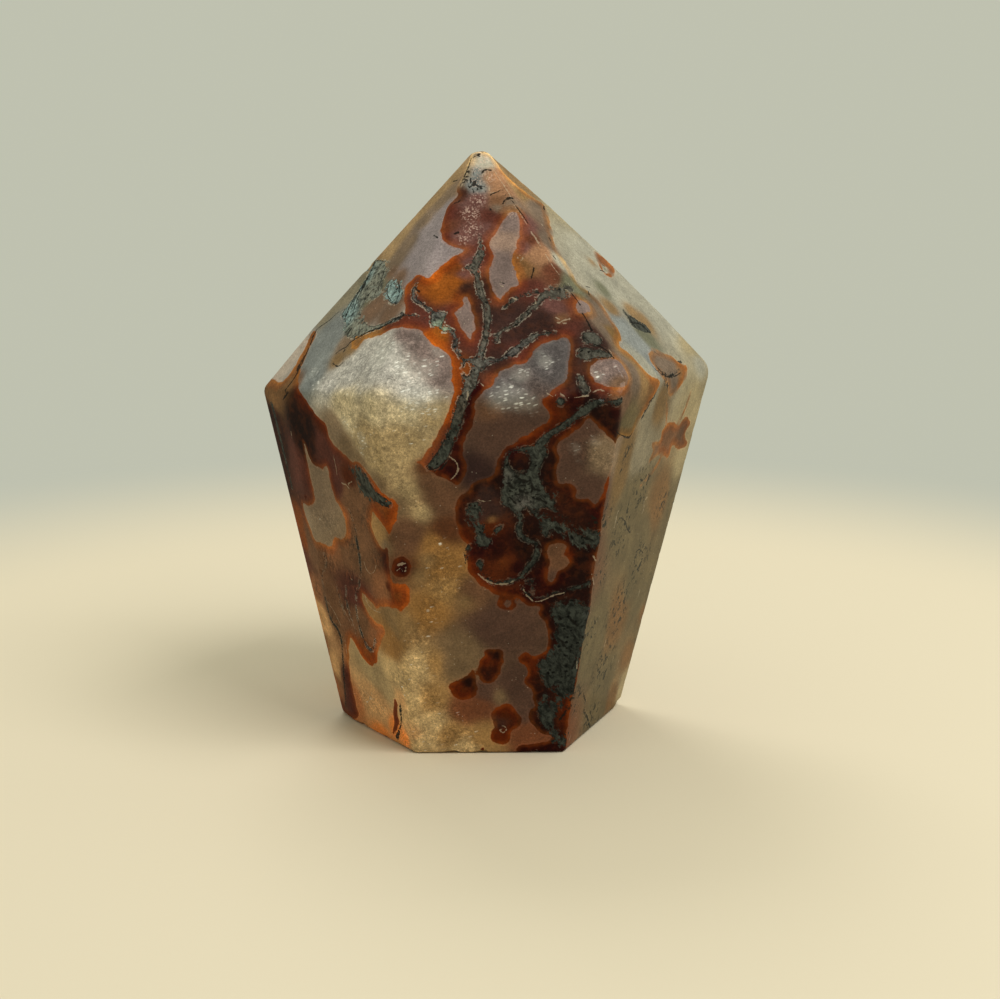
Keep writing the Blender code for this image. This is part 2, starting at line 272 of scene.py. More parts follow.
ironBack = [
    ("add", "left wing", "patch", [
        (-27, 38.6), (-24.2, 38.4), (-21.6, 36.6), (-19.4, 37.2), (-17.2, 35.4), (-14.4, 36), (-12.8, 33.2),
        (-14.4, 30.4), (-12.9, 26.8), (-15.4, 23.6), (-17.6, 22.6), (-18.2, 19), (-15.8, 16.4),
        (-16.4, 12.4), (-14, 9), (-15.2, 4.8), (-16.6, 1), (-17.6, -2), (-28, -2),
    ]),
    ("cut", "wing lens", "patch", [
        (-21.8, 33.4), (-19.8, 34.4), (-18.2, 31.8), (-18.6, 28.4), (-20.6, 27.2), (-22, 29.8),
    ]),
    ("cut", "wing lens two", "patch", [
        (-19.6, 15), (-18.2, 12.6), (-18.4, 9.4), (-19.8, 10.8), (-20.6, 13),
    ]),
    ("add", "back fan", "patch", [
        (-2, 66), (0.6, 64.4), (2.6, 60.8), (3.8, 57.4), (2.6, 54.2), (5, 50.8), (7.7, 48), (10.4, 45.2),
        (8.8, 42.2), (5.6, 41.6), (3.6, 44.4), (0.8, 46.8), (-1.4, 44.6), (-4.2, 42.4), (-7.8, 43.6),
        (-9.4, 46.6), (-7.2, 49.8), (-5.4, 52.8), (-6.4, 56), (-4.6, 59.6), (-4.4, 63),
    ]),
    ("cut", "fan lens", "patch", [
        (-2, 58.4), (-0.2, 57.2), (0.3, 53.4), (-0.9, 50.6), (-2.7, 52.4), (-3.1, 55.8),
    ]),
    ("cut", "fan lens two", "patch", [
        (4, 49.4), (5.6, 47.2), (5.2, 45.4), (3.4, 46.8), (2.6, 48.8),
    ]),
    ("add", "girdle leaf", "patch", [
        (11.6, 40.8), (13.4, 41.6), (14.6, 43.6), (16.6, 42.4), (19, 43), (22.6, 39.8), (20.6, 38.6),
        (18.8, 39.6), (17, 36.6), (14.8, 38.4), (13, 37.4),
    ]),
    ("add", "body main", "patch", [
        (-9.4, 41), (-5.6, 42.8), (-2, 40.2), (1.6, 41), (4.6, 38.2), (3.6, 34.8), (5.6, 31.2), (4, 27.6),
        (6.6, 24.2), (5.6, 20.2), (2.6, 19.4), (0.6, 22.6), (-2.4, 21.6), (-5, 23.6), (-4.2, 27.4),
        (-7.2, 29.6), (-9.9, 32.6), (-8.7, 36.6),
    ]),
    ("cut", "body pool", "patch", [
        (-4, 35.6), (-1.2, 36.4), (0.6, 33.6), (-0.6, 30.8), (-3.2, 30.2), (-5, 32.8),
    ]),
    ("cut", "body pool two", "patch", [
        (2.6, 25.8), (4, 24.2), (3.4, 22), (1.8, 23.4),
    ]),
    ("add", "drop", "disc", [(-6.6, 18.2, 1.2)]),
    ("add", "drop two", "disc", [(-4.9, 14.6, 0.7)]),
    ("add", "foot", "patch", [
        (-11.2, 8.4), (-7.2, 10), (-3.6, 8.4), (-1.4, 5.2), (1.4, 6.4), (3.4, 3.2), (2, -2), (-9, -2),
        (-12.4, 2.6),
    ]),
    ("cut", "foot hole", "patch", [
        (-6.4, 4.8), (-4.8, 5), (-4, 3.2), (-5.6, 2.2),
    ]),
    ("add", "fleck one", "patch", [
        (9.8, 30.8), (11.6, 31.2), (13.6, 33.4), (15.2, 33), (15.4, 30.6), (17.4, 29), (16, 27.2),
        (13.8, 28.4), (12.6, 25.4), (11.4, 27.6),
    ]),
    ("add", "fleck two", "patch", [
        (16.2, 21.6), (17.8, 22.8), (18.4, 20.6), (19.8, 18.4), (18.2, 17.4), (17.4, 19.2),
    ]),
    ("add", "fleck three", "patch", [
        (7.6, 14.8), (9.4, 14.2), (10.6, 16.4), (12.2, 15.2), (11.8, 13), (13.6, 10.6), (11.6, 10.4),
        (10.2, 12.2), (8.8, 10.8),
    ]),
    ("add", "crown left leaf", "patch", [
        (-21.6, 42.6), (-19.4, 43.8), (-17.8, 46.6), (-16.2, 45.2), (-14.6, 47), (-13.4, 45.2),
        (-14.4, 42.8), (-12.6, 41.2), (-16.2, 41.8), (-18.2, 40.4),
    ]),
    ("cut", "leaf eye", "patch", [
        (-17.2, 44.2), (-16, 43.8), (-16.4, 42.8), (-17.6, 43.2),
    ]),
]

# Moss
mossFront = [
    ("add", "main vein", "vein", [
        (480, 236, 1.2), (481, 245, 1.6), (481, 254, 4), (477, 262, 5), (474, 269, 4.5), (477, 277, 3),
        (479, 287, 3), (481, 296, 3.4), (486, 304, 3.6), (488, 315, 3.6), (487, 326, 3.4), (486, 336, 3.2),
        (483, 346, 3.4), (480, 356, 3.4), (478, 365, 4), (474, 376, 5), (470, 386, 6), (465, 396, 4.6),
        (461, 407, 5.2), (458, 418, 5), (454, 430, 4.8), (449, 442, 5), (444, 452, 6), (438, 461, 6),
        (431, 467, 4.5),
    ]),
    ("add", "vein spur", "vein", [
        (474, 266, 3), (468, 268, 2.4), (463, 270, 1.2),
    ]),
    ("add", "left branch top", "vein", [
        (416, 285, 2), (413, 292, 2.6), (416, 300, 2.8), (423, 305, 1.8), (430, 311, 2.4),
    ]),
    ("add", "left branch patch", "patch", [
        (431, 311), (440, 312), (447, 313), (446, 319), (443, 325), (447, 328), (450, 331), (444, 333),
        (437, 328), (431, 326), (430, 319),
    ]),
    ("add", "left branch foot", "vein", [
        (448, 328, 2), (453, 334, 2.6), (456, 340, 2.8), (455, 347, 2.6), (459, 354, 2), (464, 361, 2.6),
        (471, 366, 3),
    ]),
    ("add", "junction", "patch", [
        (463, 360), (474, 358), (480, 360), (479, 372), (474, 383), (464, 384), (461, 374),
    ]),
    ("cut", "junction eye", "patch", [
        (465, 364), (470, 364), (471, 371), (467, 377), (463, 374),
    ]),
    ("add", "short branch", "vein", [
        (400, 313, 1.6), (407, 316, 1.6), (415, 316, 1.4), (423, 319, 0.8),
    ]),
    ("add", "middle branch", "vein", [
        (496, 341, 3), (498, 335, 2.6), (505, 329, 2.2), (513, 326, 2.2), (522, 318, 2.6), (530, 311, 2.8),
        (537, 304, 3.2), (543, 297, 4), (552, 294, 7), (562, 292, 7), (570, 288, 4),
    ]),
    ("add", "upper branch", "vein", [
        (503, 309, 1), (510, 303, 2.2), (517, 298, 2), (527, 295, 2), (538, 292, 2.4),
    ]),
    ("add", "lower branch", "vein", [
        (481, 368, 4), (488, 362, 3.6), (497, 361, 2.2), (505, 358, 2.6), (513, 353, 4.2), (520, 347, 3.8),
        (528, 341, 3.6), (536, 336, 3), (545, 334, 2.2), (556, 333, 1.4),
    ]),
    ("add", "upper left crown", "patch", [
        (374, 262), (381, 260), (388, 264), (387, 274), (383, 284), (380, 295), (371, 301), (363, 304),
        (361, 312), (364, 321), (372, 326), (384, 323), (394, 318), (404, 316), (400, 320), (390, 325),
        (378, 330), (366, 334), (357, 338), (348, 338), (343, 332), (345, 324), (341, 316), (347, 307),
        (354, 297), (361, 287), (368, 275),
    ]),
    ("add", "sky felt", "patch", [
        (386, 285), (392, 279), (400, 281), (403, 290), (402, 299), (396, 305), (389, 303), (384, 296),
    ]),
    ("add", "upper left edge", "vein", [
        (373, 264, 1.2), (368, 277, 1.6), (361, 288, 1.6), (354, 299, 1.8), (350, 308, 1.6),
        (345, 318, 1.2),
    ]),
    ("add", "rim thread", "vein", [
        (404, 315, 1.6), (396, 320, 1.2), (384, 326, 1), (372, 330, 1.2), (362, 336, 1), (352, 340, 1.2),
    ]),
    ("add", "crown right patch", "patch", [
        (577, 358), (578, 351), (584, 347), (592, 349), (601, 350), (609, 353), (613, 357), (605, 359),
        (596, 359), (586, 361),
    ]),
    ("add", "crown right upper", "patch", [
        (583, 333), (592, 332), (600, 337), (603, 344), (597, 348), (588, 345), (582, 340),
    ]),
    ("add", "crown right column", "patch", [
        (577, 376), (582, 375), (586, 381), (590, 390), (586, 396), (580, 393), (577, 385),
    ]),
    ("add", "shoulder chip", "disc", [(561, 402, 4)]),
    ("add", "right shoulder", "patch", [
        (598, 399), (608, 400), (618, 399), (622, 397), (622, 404), (614, 407), (606, 404), (598, 407),
        (588, 415), (577, 421), (567, 429), (558, 434), (550, 440), (546, 446), (548, 452), (545, 460),
        (541, 468), (540, 477), (544, 486), (551, 496), (557, 503), (552, 508), (543, 508), (535, 511),
        (528, 508), (521, 512), (513, 512), (506, 508), (502, 500), (502, 488), (503, 476), (503, 464),
        (506, 455), (513, 450), (522, 448), (532, 446), (540, 438), (548, 431), (560, 424), (572, 415),
        (584, 405),
    ]),
    ("cut", "dark blob", "patch", [
        (513, 454), (520, 452), (528, 455), (530, 462), (526, 470), (519, 473), (512, 469), (509, 461),
    ]),
    ("add", "core strand", "vein", [
        (540, 496, 1.6), (547, 506, 1.8), (556, 512, 2.2), (566, 520, 1.6), (574, 528, 1.4),
    ]),
    ("add", "core strand two", "vein", [
        (536, 512, 1.4), (548, 517, 1.8), (560, 524, 1.6), (571, 532, 1.2),
    ]),
    ("add", "strand one", "vein", [
        (505, 502, 4), (511, 508, 3), (518, 514, 3), (521, 521, 2.8), (519, 529, 3), (522, 537, 3),
        (529, 541, 3), (536, 544, 2.6), (537, 553, 2.8), (533, 562, 3.4), (526, 570, 3.2), (522, 577, 2.4),
    ]),
    ("add", "strand two", "vein", [
        (524, 500, 4), (531, 508, 3.4), (536, 515, 3), (542, 522, 3.4), (544, 530, 4.2), (547, 537, 2.4),
    ]),
    ("add", "strand fan", "patch", [
        (541, 520), (550, 520), (562, 524), (575, 530), (590, 532), (600, 530), (599, 545), (590, 548),
        (578, 546), (565, 535), (552, 532), (544, 530),
    ]),
    ("add", "left inner", "patch", [
        (468, 505), (475, 502), (482, 505), (482, 515), (481, 525), (486, 535), (492, 542), (488, 548),
        (480, 548), (475, 543), (477, 535), (472, 526), (467, 516),
    ]),
    ("add", "left inner tail", "vein", [
        (468, 512, 1.6), (470, 520, 1.6), (476, 530, 1.6),
    ]),
    ("add", "inner patch", "patch", [
        (493, 528), (498, 527), (503, 524), (502, 530), (498, 535), (493, 533),
    ]),
    ("add", "west nick", "vein", [
        (469, 547, 2.4), (466, 554, 2.2), (468, 562, 1.6),
    ]),
    ("add", "west square", "patch", [
        (476, 562), (482, 560), (484, 566), (482, 573), (478, 570),
    ]),
    ("add", "lower hoop", "vein", [
        (481, 572, 1.4), (486, 578, 1.6), (493, 583, 2.4), (503, 583, 2.6), (513, 581, 2.4),
        (520, 578, 2.2), (526, 572, 1.8), (530, 565, 2.6), (535, 560, 2.6), (538, 552, 2.2),
        (534, 544, 1.6), (530, 540, 1.2),
    ]),
    ("add", "lower line", "vein", [
        (522, 588, 1.6), (528, 595, 2.2), (535, 600, 1.6), (545, 598, 1.6), (553, 594, 1.6),
        (563, 591, 1.4), (573, 589, 2), (584, 586, 3), (590, 583, 3),
    ]),
    ("add", "lower line knot", "vein", [
        (528, 583, 2.2), (534, 582, 2), (533, 590, 1.4),
    ]),
    ("add", "moss column", "patch", [
        (552, 604), (560, 600), (572, 602), (582, 604), (590, 606), (586, 628), (582, 650), (577, 675),
        (573, 694), (566, 697), (560, 704), (556, 712), (553, 722), (559, 732), (567, 736), (563, 748),
        (553, 742), (547, 732), (540, 722), (537, 710), (541, 700), (545, 690), (542, 680), (537, 668),
        (540, 660), (548, 655), (555, 648), (553, 638), (557, 628), (552, 618),
    ]),
    ("cut", "column gap one", "patch", [
        (549, 690), (555, 688), (556, 698), (551, 703), (547, 698),
    ]),
    ("add", "left body moss", "patch", [
        (350, 470), (358, 467), (364, 472), (370, 482), (376, 491), (384, 497), (392, 503), (390, 508),
        (382, 507), (374, 501), (365, 497), (359, 490), (358, 481),
    ]),
    ("add", "left body streak", "vein", [
        (349, 510, 0.8), (354, 525, 1.2), (357, 542, 2), (360, 562, 2), (360, 580, 1.4), (356, 598, 1),
        (357, 616, 1.2), (362, 635, 1.8), (369, 650, 2.2), (374, 647, 1.4), (375, 640, 0.8),
    ]),
    ("add", "left body thread", "vein", [
        (321, 547, 0.6), (326, 562, 1), (322, 577, 0.8), (325, 597, 1.2),
    ]),
    ("add", "left body thread two", "vein", [
        (346, 586, 0.6), (347, 604, 1.2), (352, 620, 0.9), (357, 636, 0.6),
    ]),
    ("add", "left body thread three", "vein", [
        (335, 578, 0.6), (339, 596, 0.9), (345, 615, 0.7),
    ]),
    ("add", "left body edge", "vein", [
        (272, 405, 3), (277, 425, 3.4), (283, 450, 3.6), (288, 470, 2.6), (292, 488, 1.6),
    ]),
    ("add", "left foot line", "vein", [
        (325, 598, 1.6), (328, 610, 2), (332, 622, 2), (339, 632, 2.2), (342, 645, 1.8), (343, 660, 1.8),
        (344, 678, 2), (345, 692, 1.8), (346, 708, 1.6),
    ]),
    ("add", "foot vein moss", "vein", [
        (400, 706, 2.4), (401, 716, 2.2), (401, 725, 1.6), (397, 738, 3),
    ]),
    ("add", "right crown grey", "patch", [
        (622, 309), (629, 315), (638, 321), (646, 326), (651, 334), (642, 332), (634, 328), (627, 318),
    ]),
    ("add", "right crown line", "vein", [
        (655, 366, 0.9), (662, 372, 1.4), (670, 376, 1.6), (676, 373, 1.4), (680, 369, 0.8),
    ]),
    ("add", "right crown tail", "vein", [
        (665, 377, 1.2), (667, 384, 1.8), (668, 392, 1),
    ]),
    ("add", "right column flecks", "vein", [
        (583, 692, 1.4), (585, 702, 1.6), (584, 712, 1.8), (588, 720, 1.6), (587, 730, 1.6),
    ]),
]

mossBack = [
    ("add", "back main vein", "vein", [
        (-0.5, 60.4, 0.15), (0.9, 56.8, 0.35), (1.5, 53, 0.4), (0.5, 49.6, 0.4), (1.9, 46.4, 0.45),
        (3.5, 43.4, 0.5), (2.4, 40.4, 0.55), (3, 37, 0.5), (1.7, 33.4, 0.5), (2.6, 29.8, 0.5),
        (1.2, 26.2, 0.4), (1.8, 23.2, 0.2),
    ]),
    ("add", "right fork", "vein", [
        (1.5, 53, 0.25), (3.4, 51.8, 0.35), (5.2, 49.2, 0.35), (7.8, 46.6, 0.3), (9, 45.2, 0.15),
    ]),
    ("add", "left fork", "vein", [
        (0.6, 49.8, 0.3), (-1.6, 48.6, 0.4), (-4.2, 46.8, 0.4), (-6.8, 46.8, 0.2),
    ]),
    ("add", "body fork", "vein", [
        (3, 37.4, 0.35), (-0.4, 38.6, 0.35), (-3.6, 38.4, 0.35), (-6.6, 36, 0.3), (-7.4, 33.4, 0.2),
    ]),
    ("add", "low fork", "vein", [
        (1.7, 33.4, 0.2), (1.2, 28.8, 0.25), (-2.2, 26.6, 0.35), (-3, 24.2, 0.2),
    ]),
    ("add", "crown felt", "patch", [
        (-16.6, 50.4), (-14.2, 52.8), (-11.6, 51.2), (-10.4, 47.8), (-12.6, 45.4), (-15.4, 46.8),
    ]),
    ("cut", "crown felt eye", "patch", [
        (-14, 50), (-12.4, 49.6), (-12.6, 47.8), (-14, 48.4),
    ]),
    ("add", "right drift", "vein", [
        (15.8, 36.6, 0.2), (14.2, 34.6, 0.7), (13.6, 32.4, 0.9), (14.8, 30.2, 0.6), (16.4, 28.6, 0.35),
        (17.2, 26.4, 0.15),
    ]),
    ("add", "right drift two", "vein", [
        (13.8, 31.4, 0.4), (12.6, 29, 0.6), (13.4, 26.4, 0.8), (12.6, 24, 0.4), (11.2, 22.6, 0.15),
    ]),
    ("add", "foot felt", "patch", [
        (-9.2, 7), (-6.6, 8), (-7, 5.6), (-6.6, 2.6), (-8.6, 1.2), (-10, 4),
    ]),
    ("add", "wing felt", "vein", [
        (-16.6, 34.2, 0.3), (-16, 30.8, 0.5), (-17, 27.6, 0.45), (-15.8, 24.6, 0.3),
    ]),
    ("add", "wing thread", "vein", [
        (-17.4, 18.8, 0.15), (-16.9, 14.6, 0.25), (-16.7, 9.6, 0.25), (-17, 5.4, 0.2),
    ]),
    ("add", "low drift", "vein", [
        (7, 22, 0.2), (8.6, 19.8, 0.4), (8, 17.4, 0.3), (9.6, 16, 0.15),
    ]),
]

# Druzy quartz
druzyFront = [
    ("add", "great crystal", "patch", [
        (343, 356), (352, 352), (361, 348), (368, 341), (378, 338), (388, 334), (398, 330), (410, 330),
        (420, 333), (427, 340), (434, 346), (442, 351), (448, 358), (450, 370), (451, 385), (450, 398),
        (446, 409), (442, 420), (435, 434), (424, 447), (414, 458), (410, 472), (412, 486), (420, 494),
        (426, 502), (431, 512), (431, 519), (420, 520), (410, 512), (402, 502), (392, 492), (382, 482),
        (372, 470), (362, 455), (352, 440), (342, 424), (330, 414), (318, 406), (309, 396), (308, 384),
        (313, 370), (325, 372), (336, 372),
    ]),
    ("add", "right druzy", "patch", [
        (566, 342), (553, 344), (542, 349), (535, 356), (528, 366), (515, 370), (503, 375), (495, 386),
        (486, 396), (478, 402), (484, 409), (495, 414), (510, 410), (525, 414), (536, 410), (540, 402),
        (546, 395), (554, 389), (563, 380), (566, 366),
    ]),
    ("add", "cream band", "patch", [
        (432, 530), (440, 534), (448, 545), (456, 558), (462, 570), (470, 580), (466, 590), (456, 600),
        (444, 606), (438, 620), (436, 636), (440, 660), (440, 690), (455, 706), (470, 716), (478, 730),
        (486, 745), (492, 762), (410, 760), (402, 735), (404, 720), (402, 700), (396, 688), (388, 680),
        (396, 664), (402, 645), (410, 628), (418, 610), (424, 590), (422, 570), (426, 550),
    ]),
    ("add", "left foot druzy", "patch", [
        (352, 690), (365, 688), (378, 696), (388, 708), (386, 718), (374, 714), (362, 706),
    ]),
    ("add", "left inner druzy", "patch", [
        (312, 510), (322, 508), (334, 514), (340, 524), (336, 530), (324, 530), (315, 522),
    ]),
    ("add", "body lavender druzy", "patch", [
        (572, 442), (588, 436), (604, 446), (614, 456), (612, 466), (600, 470), (586, 464), (576, 456),
    ]),
    ("add", "pinkish druzy", "patch", [
        (594, 362), (610, 360), (624, 370), (622, 384), (606, 388), (592, 384), (588, 372),
    ]),
]

druzyBack = [
    ("add", "crown druse", "patch", [
        (6.4, 53.8), (10.4, 50.4), (14.2, 46.6), (17.2, 43.6), (12, 43), (10.6, 46.2), (7.4, 49.4),
        (4.6, 52.4),
    ]),
    ("add", "left druse", "patch", [
        (-13.4, 34.4), (-10.4, 33.4), (-8, 28.8), (-5.6, 25.2), (-6, 20), (-9, 15.8), (-12.6, 18),
        (-12.9, 25), (-14.2, 30),
    ]),
    ("add", "pool druse", "patch", [
        (-4, 35), (-1.4, 35.8), (0.2, 33.4), (-1, 31.2), (-3.2, 30.8), (-4.6, 32.8),
    ]),
    ("add", "right druse", "patch", [
        (3, 18), (7, 19.2), (9.4, 24), (12, 22), (13.2, 17), (9.8, 9), (5.2, 7.8), (2.4, 12),
    ]),
]

# Soft tints: name, place and the radius over which each one fades
groundFront = [
    ("lavender", 430, 232, 14), ("lavender", 414, 262, 10), ("lavender", 446, 210, 6),
    ("tanGlass", 452, 180, 7), ("tanGlass", 435, 197, 7), ("tanGlass", 418, 214, 7),
    ("tanGlass", 402, 234, 7), ("tanGlass", 388, 253, 8), ("oliveTaupe", 455, 188, 7),
    ("oliveTaupe", 440, 204, 6), ("oliveTaupe", 425, 222, 7), ("oliveTaupe", 411, 242, 8),
    ("oliveTaupe", 398, 258, 8), ("greyGlass", 372, 288, 10), ("goldenTan", 378, 255, 4),
    ("rosyBrown", 374, 308, 7), ("rosyBrown", 390, 314, 6), ("rosyBrown", 402, 275, 6),
    ("rosyBrown", 392, 272, 4), ("rosyBrown", 405, 296, 4), ("paleTaupe", 342, 298, 9),
    ("paleTaupe", 326, 316, 8), ("blueGrey", 331, 332, 11), ("blueGrey", 320, 352, 10),
    ("blueGrey", 312, 379, 9), ("paleLilac", 296, 352, 8), ("paleLilac", 284, 366, 8),
    ("paleLilac", 303, 340, 6), ("goldenTan", 352, 348, 5), ("oliveTaupe", 345, 344, 5),
    ("goldenTan", 338, 360, 5), ("rosyBrown", 295, 384, 6), ("druse", 384, 365, 18),
    ("druse", 352, 375, 14), ("druse", 330, 385, 10), ("lilac", 418, 355, 13), ("lilac", 436, 375, 12),
    ("lilac", 405, 336, 7), ("druse", 412, 392, 14), ("cream", 345, 405, 14), ("cream", 375, 410, 14),
    ("cream", 405, 412, 12), ("creamDeep", 432, 415, 10), ("creamDeep", 370, 440, 14),
    ("creamDeep", 400, 440, 16), ("honeyGrey", 335, 428, 10), ("oliveGrey", 345, 446, 9),
    ("creamDeep", 410, 490, 10), ("creamDeep", 422, 512, 7), ("umberHaze", 425, 485, 9),
    ("umberHaze", 440, 500, 12), ("umberHaze", 408, 538, 13), ("oliveGrey", 360, 464, 6),
    ("oliveGrey", 378, 487, 6), ("oliveGrey", 398, 504, 8), ("umberRed", 425, 468, 6),
    ("greyDruse", 555, 355, 10), ("greyDruse", 500, 395, 10), ("umberHaze", 490, 412, 9),
    ("plumBrown", 496, 435, 16), ("plum", 475, 470, 10.5), ("lilac", 508, 225, 8),
    ("lilacPink", 505, 240, 8), ("lilac", 500, 265, 10), ("lilac", 468, 315, 10),
    ("umberRed", 445, 530, 10), ("umberRed", 410, 570, 10), ("umberHaze", 470, 595, 10),
    ("honey", 432, 545, 9), ("honey", 440, 565, 12), ("creamDark", 445, 590, 10), ("honey", 430, 610, 10),
    ("creamPale", 418, 668, 9), ("creamDark", 435, 665, 8), ("creamPale", 412, 700, 10),
    ("creamDark", 430, 700, 10), ("creamPale", 432, 725, 10), ("creamDark", 450, 735, 10),
    ("creamPale", 422, 746, 10.5), ("creamPale", 465, 748, 9), ("creamDark", 480, 738, 9),
    ("umberPink", 465, 710, 10), ("umberPink", 480, 705, 8), ("oliveGrey", 465, 650, 12),
    ("plumBrown", 490, 630, 14), ("oliveGrey", 450, 665, 8), ("plumBrown", 515, 690, 10),
    ("plumBrown", 485, 695, 8), ("oliveGrey", 500, 697, 5), ("plumBrown", 525, 715, 7),
    ("umberPink", 530, 735, 9), ("plumBrown", 575, 455, 12), ("honeyGrey", 600, 455, 10),
    ("plumBrown", 585, 430, 9), ("plumBrown", 590, 490, 9), ("umberHaze", 560, 560, 10.5),
    ("plumBrown", 554, 575, 4), ("lilac", 605, 372, 9), ("rosyBrown", 618, 384, 6), ("lilac", 583, 307, 5),
    ("oliveTaupe", 318, 480, 8), ("creamDark", 380, 532, 8), ("oliveGrey", 386, 546, 5),
    ("goldenTan", 398, 625, 9), ("honey", 392, 645, 9), ("creamDeep", 375, 675, 10),
    ("warmTan", 375, 700, 10), ("rustOrange", 354, 700, 6), ("creamPale", 395, 675, 8),
    ("amber", 383, 737, 5), ("amber", 406, 740, 5), ("warmTan", 414, 735, 6), ("warmTan", 402, 700, 6),
    ("creamDeep", 388, 690, 6), ("paleGlass", 590, 255, 14), ("paleGlass", 610, 280, 14),
    ("paleGlass", 665, 320, 14), ("whiteCream", 690, 345, 12), ("goldenTan", 592, 262, 5),
    ("greyGlass", 605, 270, 3), ("greyGlass", 603, 289, 4), ("goldenTan", 612, 310, 4),
    ("blueGrey", 640, 348, 9), ("blueGrey", 622, 325, 6), ("blueGrey", 650, 362, 5),
    ("paleGlass", 700, 365, 10), ("goldenTan", 632, 312, 5), ("goldenTan", 644, 322, 5),
    ("greyGlass", 645, 335, 6), ("paleGlass", 645, 365, 8), ("whiteCream", 695, 400, 12),
    ("whiteCream", 683, 460, 10), ("paleTaupe", 650, 400, 8), ("paleTaupe", 640, 455, 10),
    # the side shades hold painted shade on the side facet
    ("sideTan", 625, 455, 8), ("sideTan", 660, 405, 6), ("sideTan", 620, 480, 8),
    ("sideOlive", 630, 500, 12), ("sidePeach", 660, 500, 10), ("sideOlive", 640, 540, 10),
    ("sideOlive", 630, 588, 7), ("sidePeach", 618, 615, 9), ("sideOlive", 640, 598, 7),
    ("sidePeach", 645, 612, 5), ("sideOlive", 595, 640, 10), ("sidePeach", 628, 655, 7),
    ("sideOlive", 605, 680, 8), ("sidePeach", 612, 698, 6), ("whiteCream", 622, 692, 6),
    ("sideOlive", 600, 712, 6), ("sideTan", 610, 715, 5), ("goldenTan", 466, 600, 7),
    ("goldenTan", 430, 562, 8), ("amber", 396, 728, 4), ("goldenTan", 418, 575, 8),
]

groundBack = [
    ("paleGlass", 14, 50, 2), ("paleGlass", 19.5, 44, 2), ("whiteCream", 8, 54, 2),
    ("whiteCream", 12, 46.5, 1.8), ("goldenTan", 21.8, 41.6, 1), ("greyDruse", 9.5, 50, 1.4),
    ("goldenTan", 2.8, 61.5, 0.9), ("lavender", 4.2, 47.6, 1), ("lilac", -1.4, 54.5, 1.4),
    ("lilacPink", -1.8, 51.5, 1), ("lavender", -8.2, 53, 1.6), ("greyDruse", -10.5, 44, 1.4),
    ("umberHaze", -1.4, 43.2, 1.2), ("tanGlass", -5.4, 59.5, 1.2), ("oliveTaupe", -8.2, 56.5, 1.2),
    ("tanGlass", -10.6, 54, 1.2), ("greyGlass", -13.6, 49, 1.8), ("paleTaupe", -17.4, 47.6, 1.4),
    ("blueGrey", -20.6, 43.6, 1.8), ("blueGrey", -12.4, 42.6, 1.6), ("goldenTan", -22.6, 40.4, 0.9),
    ("cream", -11.4, 38, 1.6), ("creamDeep", -11, 33, 1.6), ("cream", -10.2, 28, 1.6),
    ("creamPale", -9.4, 23.4, 1.6), ("creamDark", -9.4, 18.6, 1.6), ("honey", -12.6, 14, 1.4),
    ("creamDark", -8.6, 12.4, 1.4), ("plumBrown", -3.6, 18, 1.8), ("plumBrown", -1.4, 13, 1.8),
    ("oliveGrey", 1.4, 15.6, 1.6), ("umberHaze", -1.8, 33.4, 1.4), ("lilac", -3, 32.4, 0.9),
    ("honeyGrey", 1, 9.4, 1.6), ("creamDeep", 4.6, 6, 1.6), ("umberHaze", 3, 23.8, 1),
    ("warmTan", -13.4, 3, 1.2), ("oliveTaupe", -20.2, 31, 1.4), ("oliveTaupe", -19.2, 12, 1.2),
    ("umberHaze", -13.8, 20.6, 1.2), ("whiteCream", 22.4, 37, 1.8), ("paleTaupe", 18.6, 35.6, 1.6),
    # the side shades hold painted shade
    ("sideTan", 10.4, 37.4, 1.8), ("paleTaupe", 7.6, 34, 1.6), ("sideOlive", 10.6, 33, 1.4),
    ("sidePeach", 19.6, 30.6, 1.6), ("sideOlive", 20.2, 26.4, 1.8), ("sideTan", 9, 27.4, 1.8),
    ("sideOlive", 14.8, 19.4, 1.6), ("creamDark", 7.4, 21.6, 1.4), ("sideTan", 5.4, 17, 1.4),
    ("whiteCream", 9.6, 18.6, 1.4), ("sideOlive", 17.6, 14.4, 1.8), ("sidePeach", 14.6, 13.2, 1.4),
    ("paleTaupe", 7, 10.6, 1.4), ("sideOlive", 14.8, 8.4, 1.6), ("sideTan", 11.4, 6.4, 1.6),
    ("sideOlive", 8.4, 3, 1.4), ("whiteCream", 13.8, 2.6, 1.4),
]

